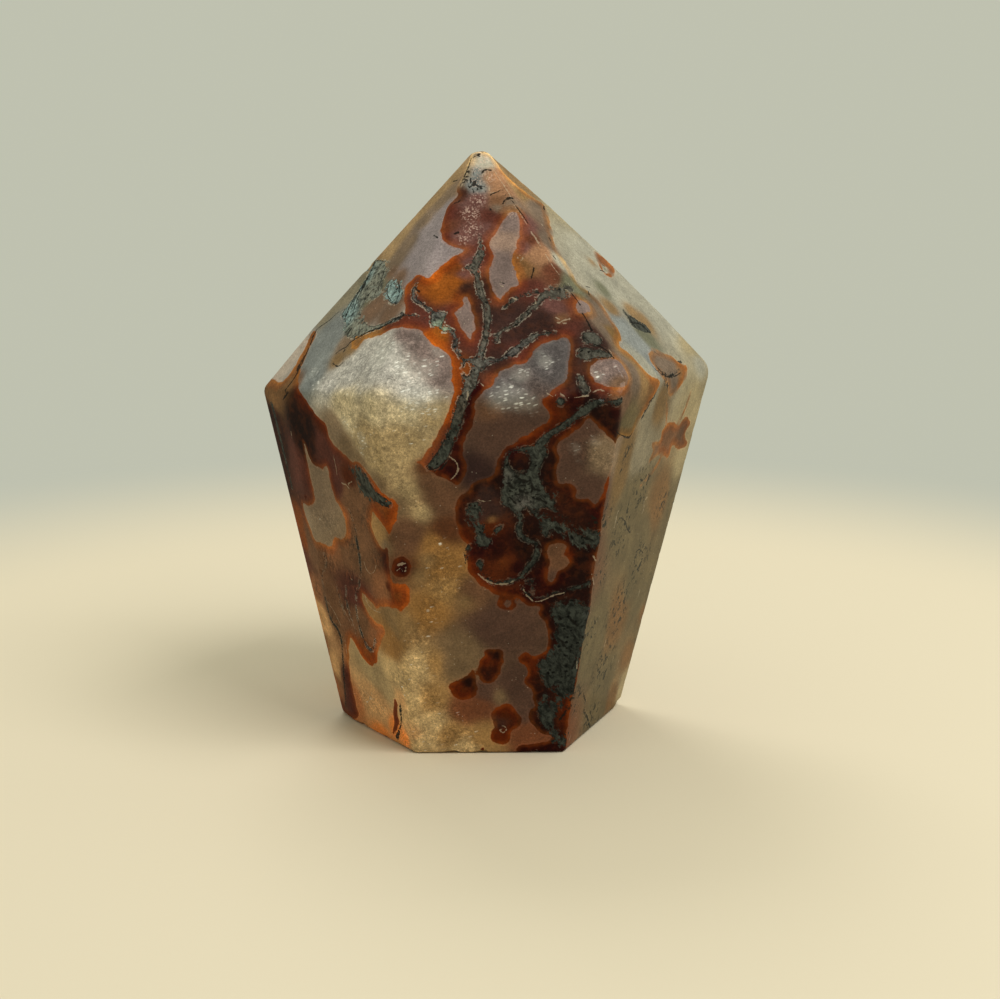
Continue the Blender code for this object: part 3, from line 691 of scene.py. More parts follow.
stainFront = [
    ("gold", 482, 160, 6), ("blueGrey", 474, 174, 5.5), ("blueGrey", 478, 156, 2.5),
    ("blueGrey", 478, 187, 7), ("deepBrick", 463, 194, 4), ("peach", 493, 180, 7), ("peach", 500, 192, 7),
    ("umber", 498, 201, 6), ("taupe", 510, 204, 5), ("taupe", 497, 208, 4), ("brickPink", 478, 200, 7),
    ("brick", 490, 216, 6), ("brickPink", 488, 230, 6), ("brick", 450, 214, 4), ("orangeRed", 447, 228, 5),
    ("brickPink", 458, 240, 7), ("brick", 446, 238, 4), ("brick", 488, 252, 6), ("deepBrick", 487, 290, 6),
    ("orangeRed", 499, 302, 5), ("brickPink", 468, 262, 6), ("brickPink", 462, 275, 5),
    ("deepBrick", 465, 288, 5), ("tanGlass", 515, 184, 7), ("goldenTan", 522, 194, 6),
    ("taupe", 535, 208, 7), ("taupe", 548, 243, 6), ("paleGlass", 560, 262, 6), ("greyGlass", 570, 285, 7),
    ("taupe", 600, 318, 8), ("sideTan", 611, 333, 7), ("goldenTan", 625, 352, 6), ("taupe", 628, 368, 8),
    ("goldenTan", 645, 376, 6), ("ochre", 652, 382, 5), ("rosyBrown", 624, 405, 5),
    ("sideOlive", 626, 425, 7), ("brickPink", 524, 228, 6), ("orangeRed", 532, 241, 4),
    ("brickPink", 524, 248, 5), ("ochre", 520, 268, 8), ("peach", 538, 256, 8), ("orangeRed", 551, 270, 5),
    # glowing orange: orange iron with a painted glow of light through the stone
    ("orangeRed", 555, 280, 4), ("brick", 530, 289, 7), ("glowOrange", 436, 283, 8),
    ("orange", 455, 268, 7), ("glowOrange", 456, 282, 7), ("orange", 424, 284, 6),
    ("orangeRed", 418, 280, 3), ("glowOrange", 440, 335, 5), ("brick", 410, 305, 6), ("brick", 425, 320, 5),
    ("brick", 450, 318, 5), ("goldenTan", 362, 340, 5), ("deepBrick", 478, 320, 6), ("brick", 480, 335, 5),
    ("brick", 458, 335, 5), ("deepBrick", 505, 318, 9), ("deepBrick", 538, 323, 10.5),
    ("deepBrick", 500, 367, 5), ("brick", 527, 356, 6), ("brick", 545, 341, 5), ("orangeRed", 494, 381, 4),
    ("brickPink", 556, 305, 7), ("orangeRed", 567, 300, 5), ("brick", 566, 328, 7), ("umber", 562, 320, 4),
    ("deepBrick", 573, 345, 5), ("deepBrick", 570, 385, 5), ("brick", 560, 393, 5), ("brick", 605, 389, 5),
    ("umber", 618, 392, 5), ("deepBrick", 592, 340, 7), ("deepBrick", 600, 358, 4),
    ("rosyBrown", 615, 365, 5), ("taupe", 605, 332, 6), ("orange", 455, 372, 4), ("orange", 456, 395, 4),
    ("orange", 446, 415, 5), ("orangeRed", 437, 435, 5), ("orangeRed", 427, 455, 5),
    ("maroon", 474, 392, 5), ("maroon", 472, 408, 5), ("maroon", 466, 428, 5), ("maroon", 459, 445, 5),
    ("maroon", 447, 470, 5), ("burnt", 556, 408, 8), ("burnt", 530, 437, 6), ("maroon", 510, 448, 6),
    ("darkMaroon", 590, 405, 7), ("maroon", 575, 404, 6), ("darkMaroon", 605, 415, 7),
    ("maroon", 615, 412, 5), ("darkMaroon", 608, 430, 6), ("darkMaroon", 498, 480, 8),
    ("darkMaroon", 540, 475, 12), ("blackBrown", 560, 500, 10), ("darkMaroon", 590, 560, 10),
    ("darkMaroon", 530, 550, 9), ("maroon", 485, 548, 7), ("maroon", 500, 556, 8), ("maroon", 515, 568, 6),
    ("burnt", 470, 570, 4), ("blackBrown", 460, 505, 4), ("blackBrown", 460, 522, 4),
    ("burnt", 466, 537, 4), ("deepBrick", 486, 512, 6), ("deepBrick", 484, 492, 6),
    ("darkMaroon", 475, 490, 5), ("maroon", 548, 585, 8), ("darkMaroon", 565, 598, 8),
    ("burnt", 568, 556, 3.5), ("burnt", 606, 490, 4), ("maroon", 604, 508, 4), ("deepBrick", 594, 565, 4),
    ("darkMaroon", 540, 715, 8), ("burnt", 522, 660, 4), ("burnt", 566, 712, 5), ("maroon", 528, 755, 7),
    ("burnt", 487, 660, 5), ("darkMaroon", 494, 655, 5), ("blackBrown", 488, 674, 5),
    ("darkMaroon", 470, 682, 5), ("deepBrick", 497, 722, 4), ("maroon", 401, 568, 6),
    ("orange", 400, 599, 7), ("burnt", 388, 588, 3), ("brick", 396, 710, 4), ("ochre", 272, 394, 6),
    ("ochre", 290, 376, 5), ("blackBrown", 275, 420, 6), ("blackBrown", 284, 450, 6),
    ("darkMaroon", 305, 435, 9), ("brick", 296, 465, 8), ("burnt", 305, 402, 4), ("burnt", 322, 425, 4),
    ("brick", 325, 450, 8), ("burnt", 348, 479, 4), ("brick", 338, 485, 6), ("umber", 350, 500, 8),
    ("umber", 350, 545, 12), ("orange", 297, 518, 4), ("orange", 304, 540, 4), ("umber", 312, 548, 6),
    ("rustBrown", 335, 547, 5), ("rustBrown", 347, 515, 4), ("rustBrown", 349, 535, 4),
    ("orange", 388, 514, 5), ("rustBrown", 384, 590, 5), ("brick", 355, 592, 8), ("umber", 332, 604, 6),
    ("rustBrown", 317, 590, 4), ("warmTan", 322, 618, 5), ("warmTan", 333, 662, 6),
    ("rustBrown", 338, 688, 5), ("brick", 347, 680, 4), ("umber", 362, 620, 6), ("rustBrown", 375, 630, 6),
    ("orange", 368, 658, 5), ("brick", 350, 702, 4), ("taupe", 663, 361, 7), ("ochre", 684, 377, 5),
    ("taupe", 672, 390, 4), ("taupe", 652, 468, 7), ("umber", 664, 445, 5), ("ochre", 667, 415, 4),
    ("umber", 604, 262, 6), ("ember", 503, 562, 8), ("orange", 503, 562, 4), ("burnt", 503, 712, 5),
    ("burnt", 500, 738, 6), ("burnt", 460, 691, 5), ("ochre", 491, 520, 3), ("burnt", 490, 528, 5),
    ("brick", 458, 545, 4),
]

stainBack = [
    ("gold", -0.6, 64.2, 0.6), ("peach", 1.2, 62, 0.7), ("brickPink", -2.6, 62, 0.9),
    ("brick", 0.8, 58.6, 0.9), ("orangeRed", 2.6, 56.6, 0.7), ("deepBrick", 1.4, 54.4, 0.7),
    # glowing orange: painted glow of light through the stone
    ("brickPink", -4.2, 54, 0.8), ("glowOrange", -4.4, 50.8, 1), ("orange", -5.6, 48.6, 0.9),
    ("brick", -2, 49, 0.8), ("deepBrick", 1, 49, 0.9), ("brick", 4.4, 50.4, 0.7),
    ("orangeRed", 6.8, 47.6, 0.8), ("deepBrick", 2.6, 45.6, 0.8), ("ochre", 8.6, 44.6, 0.9),
    ("brick", 6, 43, 0.8), ("deepBrick", -2.6, 45.8, 0.8), ("orangeRed", -6.8, 45, 0.8),
    ("ochre", 14.4, 41.4, 0.9), ("taupe", 17, 40, 0.9), ("rustBrown", 19.4, 40.4, 0.8),
    ("burnt", -3, 40.2, 0.8), ("darkMaroon", -6, 36.8, 0.9), ("darkMaroon", 2.4, 35.6, 1),
    ("maroon", -7, 32.4, 0.9), ("burnt", -5.2, 30, 0.8), ("blackBrown", 2.4, 31.6, 1),
    ("maroon", -1, 28.4, 1), ("darkMaroon", 2.8, 28, 0.9), ("ember", -2.8, 25.4, 0.7),
    ("maroon", -0.6, 24.6, 0.9), ("burnt", 4.8, 26.4, 0.7), ("darkMaroon", 3.8, 21, 0.8),
    ("maroon", -6.6, 18.2, 0.7), ("orangeRed", -4.9, 14.6, 0.5), ("maroon", -8, 8.4, 0.9),
    ("darkMaroon", -9.4, 3.4, 1.2), ("burnt", -3.6, 6.6, 0.8), ("brick", 1.4, 4.4, 0.8),
    ("darkMaroon", 0, 1, 0.9), ("orange", -11.6, 5.6, 0.6), ("ochre", -22.4, 37.2, 0.8),
    ("burnt", -19, 36, 0.8), ("brick", -16.4, 33.6, 1), ("burnt", -13.8, 33.4, 0.7),
    ("darkMaroon", -22.8, 30, 1), ("brick", -16, 28.4, 1), ("rustBrown", -16.4, 24.8, 0.8),
    ("brick", -20.8, 20.4, 1.1), ("umber", -18.6, 17, 1), ("rustBrown", -17, 16, 0.7),
    ("umber", -19, 6.8, 1), ("rustBrown", -16.4, 7.4, 0.8), ("orange", -15.4, 3.2, 0.7),
    ("brick", -17.4, 2, 0.8), ("rustBrown", 12, 30.4, 0.9), ("taupe", 14.2, 29.4, 0.9),
    ("rustBrown", 17.6, 20.4, 0.8), ("orange", 10.2, 14.4, 0.7), ("brick", 11, 12.4, 0.8),
    ("ochre", -18, 44, 0.8), ("rustBrown", -15.4, 43.6, 0.8),
]

mossTintFront = [
    ("veinMoss", 486, 320, 14), ("veinMoss", 462, 405, 10), ("darkMoss", 452, 435, 10),
    ("paleMoss", 437, 317, 6), ("greenMoss", 440, 326, 6), ("paleMoss", 455, 340, 8),
    ("paleMoss", 414, 295, 8), ("paleMoss", 508, 354, 8), ("skyMoss", 393, 293, 8),
    ("skyMoss", 347, 313, 7), ("skyMoss", 364, 282, 4), ("greyMoss", 372, 290, 9),
    ("greyMoss", 365, 326, 10), ("darkMoss", 320, 330, 6), ("darkMoss", 300, 366, 6),
    ("veinMoss", 582, 385, 8), ("darkMoss", 580, 415, 12), ("darkMoss", 515, 485, 16),
    ("blackMoss", 570, 620, 14), ("darkMoss", 545, 595, 12), ("darkMoss", 280, 440, 12),
    ("darkMoss", 340, 650, 14), ("paleMoss", 362, 635, 8), ("blackMoss", 401, 716, 8),
    ("paleMoss", 509, 478, 6), ("paleMoss", 522, 500, 6),
]

mossTintBack = [
    ("paleMoss", 6, 48, 0.9), ("greyMoss", -13.4, 50, 1.4), ("skyMoss", -11.6, 48.4, 0.7),
    ("blackMoss", 14.8, 30, 2), ("blackMoss", -8, 5, 1.4), ("darkMoss", -16.4, 29, 1.4),
    ("darkMoss", -17, 12, 1.4), ("veinMoss", 8, 19, 0.9),
]

# Hair-thin cracks and needles, and pale lines: healed seams, and on the front's ridges, tip and chipped edges
# also painted glints
darkFront = [
    [(482, 172, 0.8), (486, 170, 1.1), (492, 171, 0.8)],
    [(478, 186, 0.8), (481, 190, 1.1), (484, 187, 0.8)],
    [(470, 188, 0.7), (474, 184, 0.8), (477, 180, 0.7)],
    [(490, 195, 0.6), (495, 193, 0.6), (500, 192, 0.5), (505, 190, 0.5)],
    [(503, 204, 0.8), (505, 200, 1.2), (509, 198, 1.1), (513, 199, 0.8)],
    [(534, 268, 0.8), (533, 273, 0.8), (531, 279, 0.6)],
    [(570, 292, 0.7), (575, 298, 0.8), (580, 305, 0.9)],
    [(582, 313, 0.8), (587, 321, 0.9), (592, 331, 0.8)],
    [(592, 344, 0.7), (600, 347, 0.7), (608, 352, 0.8), (614, 359, 0.7)],
    [(471, 161, 0.7), (466, 173, 0.8), (460, 186, 0.6)], [(457, 181, 0.8), (452, 182, 0.8)],
    [(455, 234, 1.4), (458, 233, 1.2)], [(434, 236, 0.9), (438, 238, 0.8)],
    [(316, 331, 1.1), (309, 348, 1.1), (301, 366, 1.3), (294, 379, 1.1), (285, 391, 0.9)],
    [(305, 356, 1.6), (302, 361, 1.4)], [(299, 366, 1.6), (297, 371, 1.4)],
    [(368, 332, 1), (378, 330, 0.9), (386, 325, 0.8), (395, 319, 0.8), (404, 315, 0.9)],
    [(415, 288, 1.2), (419, 292, 1)], [(656, 393, 0.9), (652, 399, 0.9), (648, 404, 0.7)],
    [(645, 411, 1.4), (643, 417, 1.6)],
    [(632, 433, 0.9), (629, 438, 1.3), (622, 436, 0.8), (616, 432, 0.7)],
    [(631, 323, 0.7), (639, 324, 0.8), (645, 328, 0.8), (650, 333, 0.9)],
    [(656, 366, 0.8), (662, 373, 0.9), (669, 378, 0.8), (676, 376, 0.7), (681, 373, 0.6)],
    [(679, 363, 1.8), (681, 362, 1.6)], [(626, 454, 0.8), (623, 461, 0.7)],
    [(622, 469, 1.4), (620, 473, 1.3)],
    [(621, 518, 0.8), (625, 522, 0.9), (627, 529, 0.9), (630, 533, 0.9)],
    [(636, 557, 0.6), (636, 553, 0.8), (639, 550, 0.8), (642, 552, 0.6), (643, 554, 0.7)],
    [(654, 352, 0.5), (660, 356, 0.5)], [(588, 291, 0.9), (589, 295, 0.9)], [(544, 207, 1), (544, 210, 1)],
    [(553, 256, 1), (556, 260, 0.8)], [(549, 238, 0.8), (551, 242, 0.7)],
    [(380, 502, 1.8), (384, 504, 1.4)], [(288, 393, 1), (283, 400, 0.9)],
    [(501, 283, 0.9), (505, 284, 0.7)], [(434, 471, 1.6), (430, 468, 1.4)],
    [(447, 462, 0.8), (441, 470, 0.8)],
    [(375, 262, 0.8), (369, 276, 1.5), (361, 289, 1.3), (354, 299, 1.5), (349, 309, 1), (345, 319, 0.7)],
    [(366, 284, 0.7), (358, 298, 0.9), (354, 310, 0.7), (350, 322, 0.7)],
    [(340, 311, 0.6), (329, 321, 0.8), (318, 329, 1.2), (312, 338, 0.9)],
    [(384, 272, 0.6), (380, 284, 0.7), (374, 296, 0.6)],
    [(398, 282, 0.6), (400, 292, 0.8), (396, 302, 0.6)],
    [(389, 284, 0.6), (387, 294, 0.6), (391, 301, 0.6)],
    [
        (404, 316, 0.8), (394, 321, 1), (382, 327, 0.8), (371, 331, 1), (360, 337, 0.8), (350, 343, 0.9),
        (344, 352, 0.7),
    ],
    [(336, 354, 0.8), (341, 350, 0.7), (348, 347, 0.7)],
    [(333, 364, 0.8), (338, 367, 0.9), (343, 363, 0.7)], [(471, 159, 0.9), (469, 165, 0.8)],
    [(469, 172, 0.9), (466, 179, 1.1), (464, 183, 0.7)],
    [(475, 157, 0.9), (479, 154.5, 1.4), (480, 157, 0.9)],
    [(481, 174, 0.9), (484, 171, 1.3), (487, 170, 1.2), (490.5, 171, 0.7)],
    [(476, 181, 1), (475, 185, 1.3)], [(470.5, 179, 0.8), (471, 184, 1)],
    [(479, 186, 0.9), (481, 186.5, 1)], [(479.5, 190, 0.9), (481.5, 188.5, 1.1)],
    [(469, 187, 0.8), (470, 190, 0.9)], [(473, 190, 0.7), (474, 193, 0.7)],
    [(490, 196, 0.8), (494, 194, 0.6), (499, 191, 0.5), (503, 190, 0.5)],
    [(503, 204, 0.9), (504, 202, 0.8), (506, 200, 0.8), (510, 199.5, 0.8)],
    [(512, 201, 0.6), (517, 208, 0.6), (523, 216, 0.6), (528, 224, 0.7)],
    [(454, 204, 0.8), (459, 202, 0.8), (461, 200, 0.6)], [(490, 209.5, 1), (491, 210.5, 1)],
    [(452, 182, 0.8), (454, 181, 0.8)],
    [(652, 366, 0.5), (658, 372, 0.6), (666, 377, 0.7), (673, 375, 0.5)],
    [(678.5, 362.5, 1.3), (680.5, 363.5, 1.3)], [(633, 324, 0.5), (640, 325, 0.6), (648, 332, 0.6)],
    [(586, 287, 0.6), (590, 288, 0.5)], [(600, 271, 0.8), (604, 272, 0.9), (607, 275, 0.7)],
    [(602, 265, 0.7), (605, 267, 0.7)], [(655, 396, 0.7), (650, 404, 1), (644, 414, 1.4), (641, 420, 0.8)],
    [(507, 484, 1.4), (513, 488, 1.6)], [(516, 477, 1.3), (524, 482, 1.7), (529, 481, 1.2)],
    [(520, 491, 1.6), (528, 494, 1.6)], [(531, 486, 1.6), (537, 491, 1.6), (541, 490, 1)],
    [(538, 499, 1.6), (546, 503, 1.4)], [(510, 498, 1.3), (515, 503, 1.4)],
    [(556, 528, 1.4), (563, 531, 1.5)], [(585, 538, 1.4), (592, 541, 1.3)],
    [(571, 620, 1.4), (577, 626, 1.6)], [(560, 640, 1.5), (566, 648, 1.6)],
    [(576, 660, 1.5), (572, 669, 1.5)], [(556, 690, 1.5), (562, 696, 1.5)],
    [(566, 712, 1.5), (560, 720, 1.5)],
]

darkBack = [
    [(-2.6, 62.4, 0.1), (-5.6, 58.6, 0.09), (-8, 55.8, 0.08)],
    [(3.4, 57.8, 0.1), (5.6, 55.2, 0.08), (7.4, 53.2, 0.07)],
    [(-8.4, 44.8, 0.1), (-5.8, 43.8, 0.08), (-3.4, 44.4, 0.07)], [(19.4, 37.6, 0.1), (18.8, 36.4, 0.1)],
    [(21.4, 33.6, 0.12), (21.2, 32.6, 0.1)], [(10, 35.8, 0.1), (9.6, 34.6, 0.1)],
    [(7.8, 31.4, 0.1), (8.4, 30.6, 0.12)], [(19.4, 28.8, 0.09), (18.6, 28.2, 0.1), (18.4, 27.4, 0.08)],
    [(20.6, 24.4, 0.12), (20.4, 23.6, 0.12)], [(11, 25.8, 0.1), (11.8, 25.2, 0.12), (12, 24.4, 0.08)],
    [(8.4, 25, 0.1), (8.2, 24.2, 0.1)], [(17.4, 24.4, 0.1), (17.2, 23.6, 0.12)],
    [(15.6, 17.6, 0.12), (15.4, 16.6, 0.1)], [(18.2, 16.6, 0.1), (18.8, 15.8, 0.1)],
    [(16.8, 12.4, 0.1), (16.4, 11.6, 0.12)], [(13.8, 11, 0.12), (13.4, 10.2, 0.08)],
    [(14.4, 6.6, 0.12), (14.2, 5.4, 0.1)], [(10.8, 8.8, 0.1), (10.2, 8.2, 0.1)],
    [(9.4, 5.2, 0.1), (9.2, 4.2, 0.12)], [(12.4, 3.6, 0.1), (12, 2.6, 0.1)],
    [(6.4, 29.4, 0.1), (6.8, 28.4, 0.08)], [(13.2, 21.2, 0.1), (12.6, 20.4, 0.1)],
    [(4.4, 13, 0.1), (5.2, 12.2, 0.08)], [(-20.4, 24, 0.1), (-20.8, 21.4, 0.1), (-20, 18.6, 0.08)],
    [(-18.4, 36.2, 0.12), (-17.6, 33.8, 0.1), (-18, 31.4, 0.1)], [(-14.4, 26.4, 0.1), (-15, 24.6, 0.1)],
]

# healed seams, and along the ridges, the tip and the chipped edges painted glints
seamAndGlintFront = [
    [(492, 167, 0.58), (498, 177, 0.5), (504, 186, 0.58), (509, 194, 0.79), (512, 200, 0.58)],
    [(514, 205, 0.65), (516, 209, 0.65)], [(520, 214, 0.43), (527, 225, 0.43)],
    [(531, 232, 0.72), (535, 238, 0.94), (540, 246, 0.94)],
    [(545, 254, 0.43), (553, 267, 0.43), (559, 275, 0.5)],
    [(472, 164, 0.58), (468, 173, 0.58), (461, 188, 0.43)],
    [(482, 176, 0.5), (485, 173, 0.5), (490, 172, 0.43)], [(477, 160, 1.15), (478, 164, 1.15)],
    [(482, 158, 0.72), (485, 160, 0.72), (483, 164, 0.58)], [(488, 176, 0.58), (486, 180, 0.58)],
    [(489, 187, 0.5), (490, 193, 0.58), (494, 193, 0.43)],
    [(535, 300, 0.58), (536, 304, 0.58), (533, 305, 0.43)],
    [(565, 290, 0.43), (572, 293, 0.5), (578, 300, 0.5)],
    [(556, 318, 0.72), (563, 321, 1.01), (570, 319, 0.86)], [(557, 323, 0.72), (566, 324, 0.72)],
    [(546, 393, 0.5), (553, 397, 0.58)], [(560, 394, 0.65), (566, 398, 0.58)],
    [(575, 398, 0.58), (590, 396, 0.58)], [(594, 392, 0.86), (600, 390, 0.86), (605, 392, 0.65)],
    [(606, 397, 0.58), (612, 395, 0.58)], [(480, 383, 0.65), (485, 388, 0.43)],
    [(468, 392, 0.86), (467, 401, 0.72)],
    [(449, 457, 0.65), (455, 461, 0.65), (458, 468, 0.72), (456, 475, 0.65), (451, 480, 0.58)],
    [(517, 259, 0.43), (518, 256, 0.43), (521, 256, 0.43), (523, 259, 0.43), (520, 262, 0.43)],
    [(478, 500, 0.58), (484, 502, 0.65), (491, 501, 0.5)],
    [
        (523, 589, 0.72), (528, 597, 0.79), (535, 602, 0.72), (545, 600, 0.65), (553, 596, 0.65),
        (566, 593, 0.5),
    ],
    [(364, 562, 0.43), (366, 569, 0.5), (370, 574, 0.58), (374, 572, 0.43), (376, 566, 0.5)],
    [(305, 445, 0.5), (308, 455, 0.5), (311, 462, 0.5)],
    [(333, 455, 0.43), (336, 468, 0.43), (337, 476, 0.36)], [(346, 485, 0.72), (350, 490, 0.72)],
    [(341, 483, 0.58), (346, 485, 0.65), (352, 482, 0.43)],
    [(647, 498, 1.01), (644, 502, 0.94), (644, 508, 0.58), (642, 514, 0.86)],
    [(592, 555, 0.86), (596, 561, 0.86)], [(592, 575, 0.58), (594, 585, 0.58)],
    [(577, 662, 0.86), (577, 669, 0.86)],
    [(502, 726, 0.5), (506, 728, 0.65), (506, 732, 0.65), (502, 733, 0.65), (500, 730, 0.58)],
    [(512, 298, 0.72), (516, 300, 0.72)], [(365, 692, 0.43), (370, 697, 0.65), (374, 700, 0.43)],
    [(368, 703, 0.43), (371, 698, 0.43), (372, 692, 0.36)], [(380, 706, 0.36), (386, 712, 0.43)],
    [(612, 664, 0.43), (614, 656, 0.43)], [(618, 664, 0.58), (619, 660, 0.58)],
    [(542, 225, 0.86), (543, 226, 0.86)], [(609, 350, 0.86), (612, 354, 0.72)],
    [(503, 281, 0.5), (499, 285, 0.43), (503, 287, 0.5)],
    [(365, 595, 0.58), (367, 603, 0.58), (373, 610, 0.5), (380, 613, 0.43)],
    [(350, 578, 0.65), (352, 580, 0.58)], [(326, 600, 0.43), (334, 612, 0.43), (341, 626, 0.43)],
    [(338, 600, 0.36), (346, 614, 0.36), (353, 628, 0.36)], [(401, 568, 0.65), (397, 571, 0.65)],
    [(345, 640, 0.43), (347, 655, 0.43)], [(291, 432, 0.72), (292, 440, 0.58)],
    [(397, 568, 0.72), (401, 563, 0.94), (406, 566, 0.86), (405, 572, 0.65)],
    [
        (478, 574, 0.72), (484, 580, 0.86), (491, 583, 0.79), (499, 585, 0.94), (508, 584, 0.72),
        (516, 580, 0.65),
    ],
    [(618, 512, 0.86), (616, 520, 1.08), (614, 528, 0.79)], [(606, 640, 0.65), (604, 647, 0.72)],
    [(640, 590, 0.58), (638, 597, 0.65)], [(571, 735, 0.65), (569, 742, 0.72)],
]

paleBack = [
    [(4.8, 33, 0.09), (5.4, 31, 0.1), (4.6, 29.2, 0.08)],
    [(-9.2, 36, 0.07), (-9.8, 33.6, 0.08), (-8.6, 31.6, 0.07)],
    [(-6, 34.8, 0.06), (-4.8, 36.6, 0.07), (-2.4, 37.2, 0.06)],
    [(2.6, 20.8, 0.09), (4.4, 20.6, 0.1), (5.6, 22.2, 0.09)],
    [(-1.4, 59.4, 0.07), (0, 58.4, 0.08), (0.6, 56, 0.06)], [(13, 42.4, 0.08), (15.4, 42.8, 0.08)],
    [(-16.4, 17.6, 0.06), (-15.6, 15.6, 0.07)], [(-2.4, 7, 0.07), (-0.8, 4.8, 0.07)],
    [(-21.4, 26.8, 0.07), (-19.8, 26, 0.08)],
]

# Where painted white flashes, highlights off the druse's crystal faces, show
paintedFlashFront = [
    (383, 355, 16), (384, 335, 12), (405, 365, 14), (425, 370, 12), (428, 402, 12), (412, 400, 12),
    (440, 350, 8), (437, 412, 8), (314, 372, 8), (316, 388, 10), (318, 402, 8), (500, 401, 13),
    (515, 402, 14), (530, 406, 10), (505, 392, 10), (520, 375, 9), (535, 352, 8), (545, 362, 7),
    (550, 340, 5), (360, 455, 8), (362, 440, 8), (345, 425, 8), (588, 372, 5), (598, 377, 4), (610, 330, 4),
    (645, 300, 6), (653, 315, 5), (675, 330, 6), (690, 350, 6), (485, 161, 5), (597, 440, 6), (572, 450, 7),
    (575, 465, 6),
]

paintedFlashBack = [
    (9, 51, 1.6), (13, 47, 1.5), (15.6, 44.4, 1.1), (11.4, 45, 1), (-11.8, 31.6, 1.4), (-9.2, 27, 1.4),
    (-11.6, 23, 1.2), (-8, 21, 1.2), (-10.6, 18, 1), (-2.4, 33.4, 1), (6, 17, 1.2), (9.6, 20.6, 1.2),
    (8, 12.6, 1), (-1.4, 43.4, 0.8), (-1.6, 54, 0.8), (4.2, 47.6, 0.7),
]

# Where painted glitter, glints of light at the tip, and flow streaks show
paintedGlitterFront = [
    (484, 160, 7), (478, 170, 6), (476, 182, 7), (488, 178, 6), (478, 200, 8), (470, 214, 9), (473, 230, 9),
    (463, 240, 6), (512, 215, 4),
]

paintedGlitterBack = [
    (-1.2, 64, 0.9), (-2.6, 61.4, 0.9), (0.6, 60, 0.8), (-4, 57, 0.9),
]

streakFront = [
    (330, 560, 16), (350, 540, 16), (352, 580, 16), (345, 605, 14), (365, 520, 12), (300, 500, 10),
    (318, 590, 10), (335, 620, 10), (378, 560, 10), (618, 312, 10), (606, 292, 8),
]

streakBack = [
    (-19, 24, 1.8), (-18, 19, 1.6), (-20.6, 27.6, 1.4), (-18.6, 5, 1.8), (-17.4, 9, 1.4), (-15, 28, 1.2),
    (-7, 5, 1.4),
]

# Where moss frays into loose grains, and where the iron fades without a rim
frayFront = [
    (370, 290, 20), (355, 320, 20), (392, 290, 13), (385, 270, 13), (560, 292, 11), (520, 490, 17),
    (575, 540, 20), (572, 612, 20), (565, 650, 20), (555, 700, 20), (560, 740, 17), (478, 520, 13),
    (625, 315, 8), (665, 385, 6), (556, 492, 10), (360, 482, 14), (372, 500, 10), (352, 470, 9),
]

frayBack = [
    (-14, 50, 2.6), (-12, 48, 1.9), (14.8, 35, 2.6), (15, 30, 2.9), (15.4, 25, 2.6), (-8, 5, 2.9),
    (2.4, 38, 1.3), (-3, 26, 1.6), (-16.4, 30, 1.9),
]

softFront = [
    (684, 374, 9), (598, 258, 9), (662, 356, 7), (545, 212, 7), (550, 232, 7), (558, 252, 7), (568, 270, 7),
    (580, 286, 7), (596, 300, 7), (612, 320, 8), (655, 352, 7), (668, 362, 7), (676, 390, 7),
    (664, 445, 12), (688, 400, 8), (680, 420, 8), (666, 412, 7), (650, 472, 10), (600, 262, 8),
    (610, 272, 6), (648, 402, 7), (638, 420, 7), (660, 372, 6), (284, 420, 9), (286, 450, 9),
]

softBack = [
    (15, 30, 2), (13, 32, 1.6), (17.6, 20.4, 1.6), (14, 42.6, 1.4), (20.8, 40, 1.2), (10.6, 14.4, 1.4),
]

# Where squiggles of loose moss float
squiggleFront = [
    (642, 486, 26), (622, 530, 30), (640, 560, 28), (618, 610, 32), (604, 665, 30), (590, 725, 26),
    (662, 500, 22), (578, 765, 16), (604, 520, 20), (600, 575, 20), (590, 635, 20), (576, 700, 18),
    (628, 455, 12),
]

squiggleBack = [
    (20, 32, 3.4), (19, 25, 3.4), (17.5, 17, 3.4), (15, 9, 3.2), (11, 4, 2.2), (9.5, 29, 2),
    (12.5, 20, 1.8),
]


# What a user may change in the stone itself. Lengths are in millimetres.
stone = {
    "skinDepth": 8,           # the skin's grid has two to this power steps along the stone
    "skinScale": 0.75,        # and the stone fills this share of it
    "mergeWithin": 0.002,     # corners closer than this are one
    "edgeAngle": 24,          # edges between faces stay crisp above this angle
    "reach": 2.4,             # how far from an outline its distance is kept
    "radiusDigits": 1,        # radii are kept to a tenth of a millimetre
    "lineReach": 0.8,         # the same for thin lines
    "castBetween": (0.05, 64.8, 100),  # lowest and highest ray, and how far outside it starts
    "castStep": 0.4,          # of the search for the nearest edge
    "castLimit": 30,
    "curveSteps": 5,          # pieces between two points of an outline
    "tintFall": 3.0,          # how fast a tint gives way to the next
    "levelAbove": 0.93,       # faces flatter than this are neither front nor back
    "wander": ((0.33, 1.9), (0.95, 0.5)),  # fineness and reach of the back outlines' wander
    "wanderSeed": 7,
}


def startClean():
    if bpy.context.object and bpy.context.object.mode != "OBJECT":
        bpy.ops.object.mode_set(mode="OBJECT")
    bpy.ops.object.select_all(action="DESELECT")


def makeActive(piece):
    startClean()
    piece.select_set(True)
    bpy.context.view_layer.objects.active = piece


def applyModifier(piece, kind, name, **settings):
    modifier = piece.modifiers.new(name, kind)
    for key, value in settings.items():
        setattr(modifier, key, value)
    makeActive(piece)
    bpy.ops.object.modifier_apply(modifier=modifier.name)


